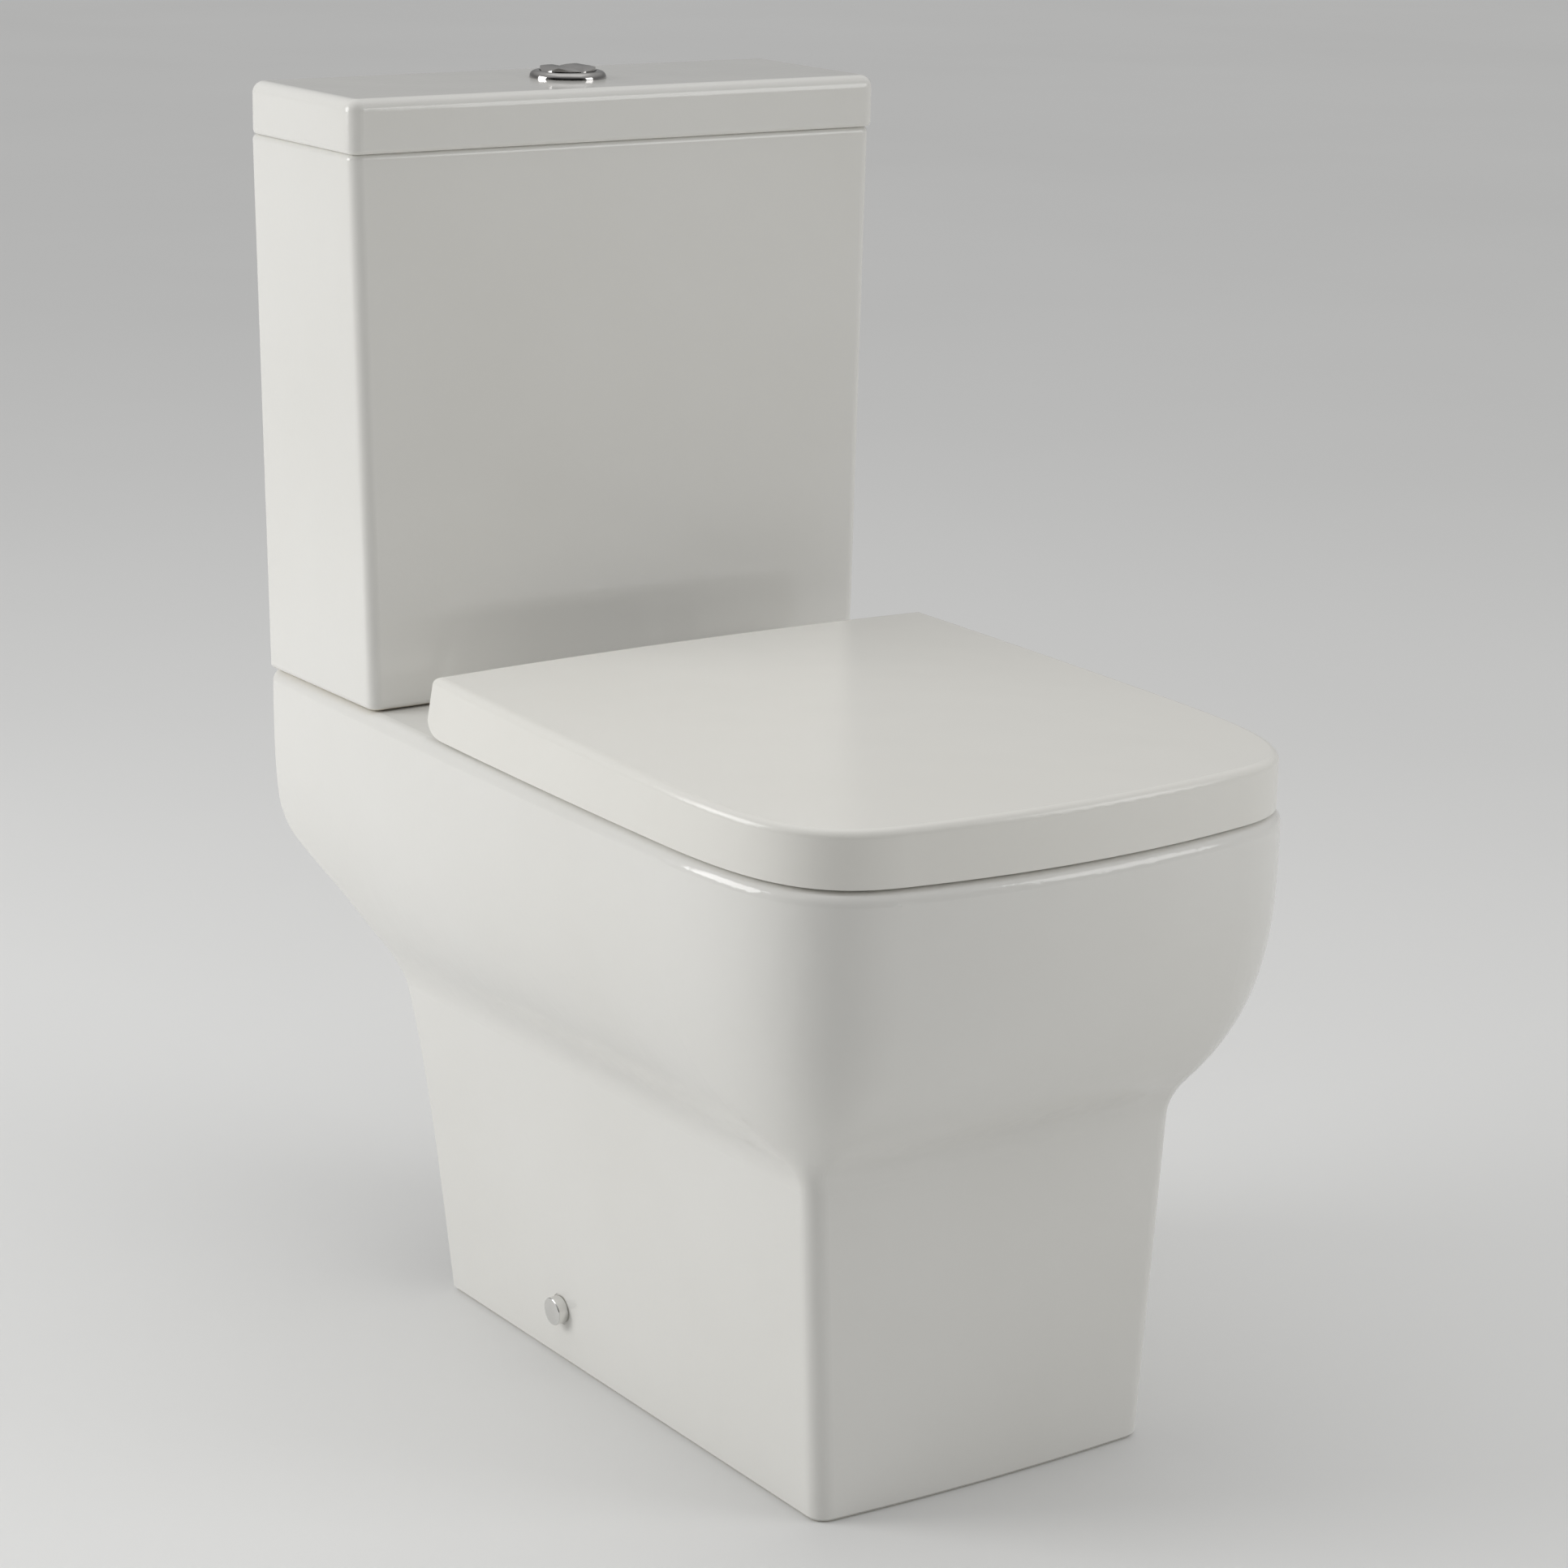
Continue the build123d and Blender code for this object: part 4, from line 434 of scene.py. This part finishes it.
dress(grey_plastic, "valve_back_nut", "half_float")
dress(rubber, "valve_base_washer", "flush_seal")
dress(zinc_steel, "rocker_pins")
dress(blue_plastic, "full_rocker", "half_rocker")

# Fill valve. A slim moulded valve beside the flush valve, with a float that shuts it by a lever.
# Its threaded tail goes down through the floor of the cistern and takes the water supply.
dress(white_plastic, "fill_body", "fill_head_cap")
dress(grey_plastic, "fill_nut", "fill_float")
dress(rubber, "fill_washer")
dress(blue_plastic, "fill_lever", "fill_rod")
dress(zinc_steel, "fill_lever_pin")

# Cistern lid. A china lid that drops over the rim of the cistern and lies there by its weight.
# Its skirt is bare underneath, where it rests, and the button goes through a hole in its middle.
LID_BARE_OVER_BASE = 0.0006
lid_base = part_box("cistern_lid")[0].z
dress(glazed_china("cistern_lid_china", lid_base + LID_BARE_OVER_BASE), "cistern_lid")

# Flush button. A chromed bezel clamped through the lid by a ring nut, with two buttons in it.
# One half gives a full flush and the other a half flush, each over its own push rod.
# Its chrome colour is painted darker than that of the caps, a painted reflection of a dark room round it.
DARK_REFLECTION_CHROME_LIGHT = (0.42, 0.41, 0.40)
DARK_REFLECTION_CHROME_DEEP = (0.37, 0.36, 0.35)
# Darkened chrome colour: painted dark reflection, not a different plating.
chrome_painted_dark_reflection = plated("chrome_painted_dark_reflection", DARK_REFLECTION_CHROME_LIGHT, DARK_REFLECTION_CHROME_DEEP)
dress(chrome_painted_dark_reflection, "button_bezel", "full_button", "half_button")
dress(white_plastic, "button_nut")
dress(blue_plastic, "full_push_rod", "half_push_rod")

# Button springs. Coils of spring steel wire round the button stems, which push the buttons back up.
# Each is wound from one length of wire and stands on the guide plate of the bezel.
SPRING_LIGHT = (0.60, 0.60, 0.60)
SPRING_DEEP = (0.50, 0.50, 0.49)
SPRING_GLOSS = (0.22, 0.34)
SPRING_TURNS = 5
SPRING_SIDES = 12
SPRING_STEPS = 40
SPRING_WIRE = 0.0005
spring_steel = new_finish(
    "spring_steel",
    light=SPRING_LIGHT,
    deep=SPRING_DEEP,
    gloss=SPRING_GLOSS,
    drift_scale=160.0,
    metallic=1.0,
)
add_relief(spring_steel, wave_scale=300.0, grain_scale=3000.0, grain_share=0.4, depth=0.00004)
for button in ("full", "half"):
    low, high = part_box(button + "_spring")
    middle = (low + high) / 2
    coil_radius = (high.y - low.y) / 2 - SPRING_WIRE
    rise = high.z - low.z - 2 * SPRING_WIRE
    coil = add_mesh(
        button + "_spring_coil",
        bpy.ops.mesh.primitive_circle_add,
        vertices=SPRING_SIDES,
        radius=SPRING_WIRE,
        location=(coil_radius, 0, 0),
        rotation=(math.pi / 2, 0, 0),
    )
    apply_modifier(
        coil,
        "SCREW",
        axis="Z",
        angle=2 * math.pi * SPRING_TURNS,
        screw_offset=rise,
        steps=SPRING_STEPS * SPRING_TURNS,
        render_steps=SPRING_STEPS * SPRING_TURNS,
    )
    edit_pick(coil, "EDGE", lambda edge: edge.is_boundary)
    bpy.ops.mesh.fill_holes(sides=SPRING_SIDES)
    bpy.ops.mesh.select_all(action="SELECT")
    bpy.ops.transform.translate(value=(middle.x, middle.y, low.z + SPRING_WIRE))
    edit_done()
    bpy.ops.object.shade_smooth()
    coil.data.materials.append(spring_steel)
    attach(coil, "cistern_cover")
    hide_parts(button + "_spring")
    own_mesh(coil)

# Seat hinges. Chromed posts bolted through the deck, with steel pins that the seat turns on.
# Below the deck each bolt has a rubber bush and a plastic wing nut.
dress(chrome, "hinge_posts")
dress(zinc_steel, "hinge_pins", "seat_bolts")
dress(rubber, "seat_bushes")
dress(grey_plastic, "seat_wing_nuts")

# Seat ring and lid. Both are pressed from a hard white thermoset and polished to a gloss.
# The plastic is a touch warmer than the china, and soft pads under both keep them apart.
SEAT_LIGHT = (0.845, 0.832, 0.785)
SEAT_DEEP = (0.825, 0.810, 0.760)
SEAT_GLOSS = (0.19, 0.25)
PAD_LIGHT = (0.70, 0.70, 0.68)
PAD_DEEP = (0.63, 0.63, 0.61)
PAD_GLOSS = (0.42, 0.58)
seat_plastic = new_finish(
    "seat_plastic", light=SEAT_LIGHT, deep=SEAT_DEEP, gloss=SEAT_GLOSS, drift_scale=5.0
)
add_relief(seat_plastic, wave_scale=16.0, grain_scale=900.0, grain_share=0.03, depth=0.00035)
pad_plastic = new_finish("pad_plastic", light=PAD_LIGHT, deep=PAD_DEEP, gloss=PAD_GLOSS, drift_scale=60.0)
add_relief(pad_plastic, wave_scale=90.0, grain_scale=1800.0, grain_share=0.5, depth=0.0001)
dress(seat_plastic, "seat_ring", "seat_lid")
dress(pad_plastic, "ring_buffers", "lid_buffers")

# Floor. One wide sheet of pale matt board, so that no edge of it shows behind the object.
# It is only there to stand the toilet on, and isn't part of it.
FLOOR_SIZE = 60.0
BOARD_LIGHT = (0.80, 0.80, 0.79)
BOARD_DEEP = (0.77, 0.77, 0.76)
BOARD_GLOSS = (0.60, 0.70)
floor = add_mesh("floor", bpy.ops.mesh.primitive_plane_add, size=FLOOR_SIZE)
floor_board = new_finish(
    "floor_board", light=BOARD_LIGHT, deep=BOARD_DEEP, gloss=BOARD_GLOSS, drift_scale=0.8
)
add_relief(floor_board, wave_scale=3.0, grain_scale=60.0, grain_share=0.5, depth=0.0002)
floor.data.materials.append(floor_board)
floor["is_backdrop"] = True

# Studio light. A soft box on the left stands a little behind the object, a weaker one fills in
# from the front right, and a wide one hangs over it.
# The room is pale above, and dark where the viewer stands.
LIGHT_AIM = Vector((0.0, 0.0, 0.40))
SOFT_BOXES = {
    "left_box": {"towards": (-0.85, 0.50, 0.30), "distance": 2.6, "size": 1.3, "power": 28.7},
    "right_box": {"towards": (0.60, -0.70, 0.36), "distance": 3.0, "size": 1.3, "power": 15.7},
    "top_box": {"towards": (0.05, 0.10, 1.0), "distance": 2.4, "size": 2.2, "power": 5.7},
}
VIEWER_SIDE = (-0.57, -0.82, 0.0)
UPWARDS = (0.0, 0.0, 1.0)
ROOM_WALLS = {"From Min": 0.30, "From Max": 0.75, "To Min": 0.278, "To Max": 0.0}
ROOM_CEILING = {"From Min": 0.25, "From Max": 0.90, "To Min": 0.0, "To Max": 0.547}
scene = bpy.context.scene
for name, box in SOFT_BOXES.items():
    lamp = bpy.data.lights.new(name, "AREA")
    lamp.shape = "SQUARE"
    lamp.size = box["size"]
    lamp.energy = box["power"]
    holder = bpy.data.objects.new(name, lamp)
    scene.collection.objects.link(holder)
    outwards = Vector(box["towards"]).normalized()
    holder.location = LIGHT_AIM + outwards * box["distance"]
    holder.rotation_euler = outwards.to_track_quat("Z", "Y").to_euler()
room = bpy.data.worlds.new("room")
room.use_nodes = True
room_tree = room.node_tree
room_place = room_tree.nodes.new("ShaderNodeTexCoord")


def room_shade(facing, ramp, kind):
    """Brightness of the room by how far a direction agrees with a given one."""
    agree = room_tree.nodes.new("ShaderNodeVectorMath")
    agree.operation = "DOT_PRODUCT"
    agree.inputs[1].default_value = facing
    room_tree.links.new(room_place.outputs["Generated"], agree.inputs[0])
    shade = room_tree.nodes.new("ShaderNodeMapRange")
    shade.interpolation_type = kind
    for label, value in ramp.items():
        shade.inputs[label].default_value = value
    room_tree.links.new(agree.outputs["Value"], shade.inputs["Value"])
    return shade.outputs["Result"]


walls = room_shade(VIEWER_SIDE, ROOM_WALLS, "SMOOTHSTEP")
ceiling = room_shade(UPWARDS, ROOM_CEILING, "LINEAR")
brightness = calculate(room_tree, "ADD", walls, ceiling)
room_tree.links.new(brightness, room_tree.nodes["Background"].inputs["Color"])
scene.world = room
scene.view_settings.view_transform = "Standard"

# Camera. A long lens at about a metre's height, off the front left corner of the toilet.
# It looks about 15 degrees down, so the seat shows its top and the cistern lid only a narrow band.
CAMERA_PLACE = (-1.3707, -1.9966, 1.0359)
CAMERA_HEADING = math.radians(-34.607)
CAMERA_DIP = math.radians(15.338)
CAMERA_ROLL = math.radians(1.138)
LENS = 94.07
SENSOR = 36.0
camera = bpy.data.cameras.new("camera")
camera.lens = LENS
camera.sensor_width = SENSOR
camera_holder = bpy.data.objects.new("camera", camera)
scene.collection.objects.link(camera_holder)
camera_holder.matrix_world = (
    Matrix.Translation(CAMERA_PLACE)
    @ Matrix.Rotation(CAMERA_HEADING, 4, "Z")
    @ Matrix.Rotation(math.pi / 2 - CAMERA_DIP, 4, "X")
    @ Matrix.Rotation(CAMERA_ROLL, 4, "Z")
)
scene.camera = camera_holder

low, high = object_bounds()
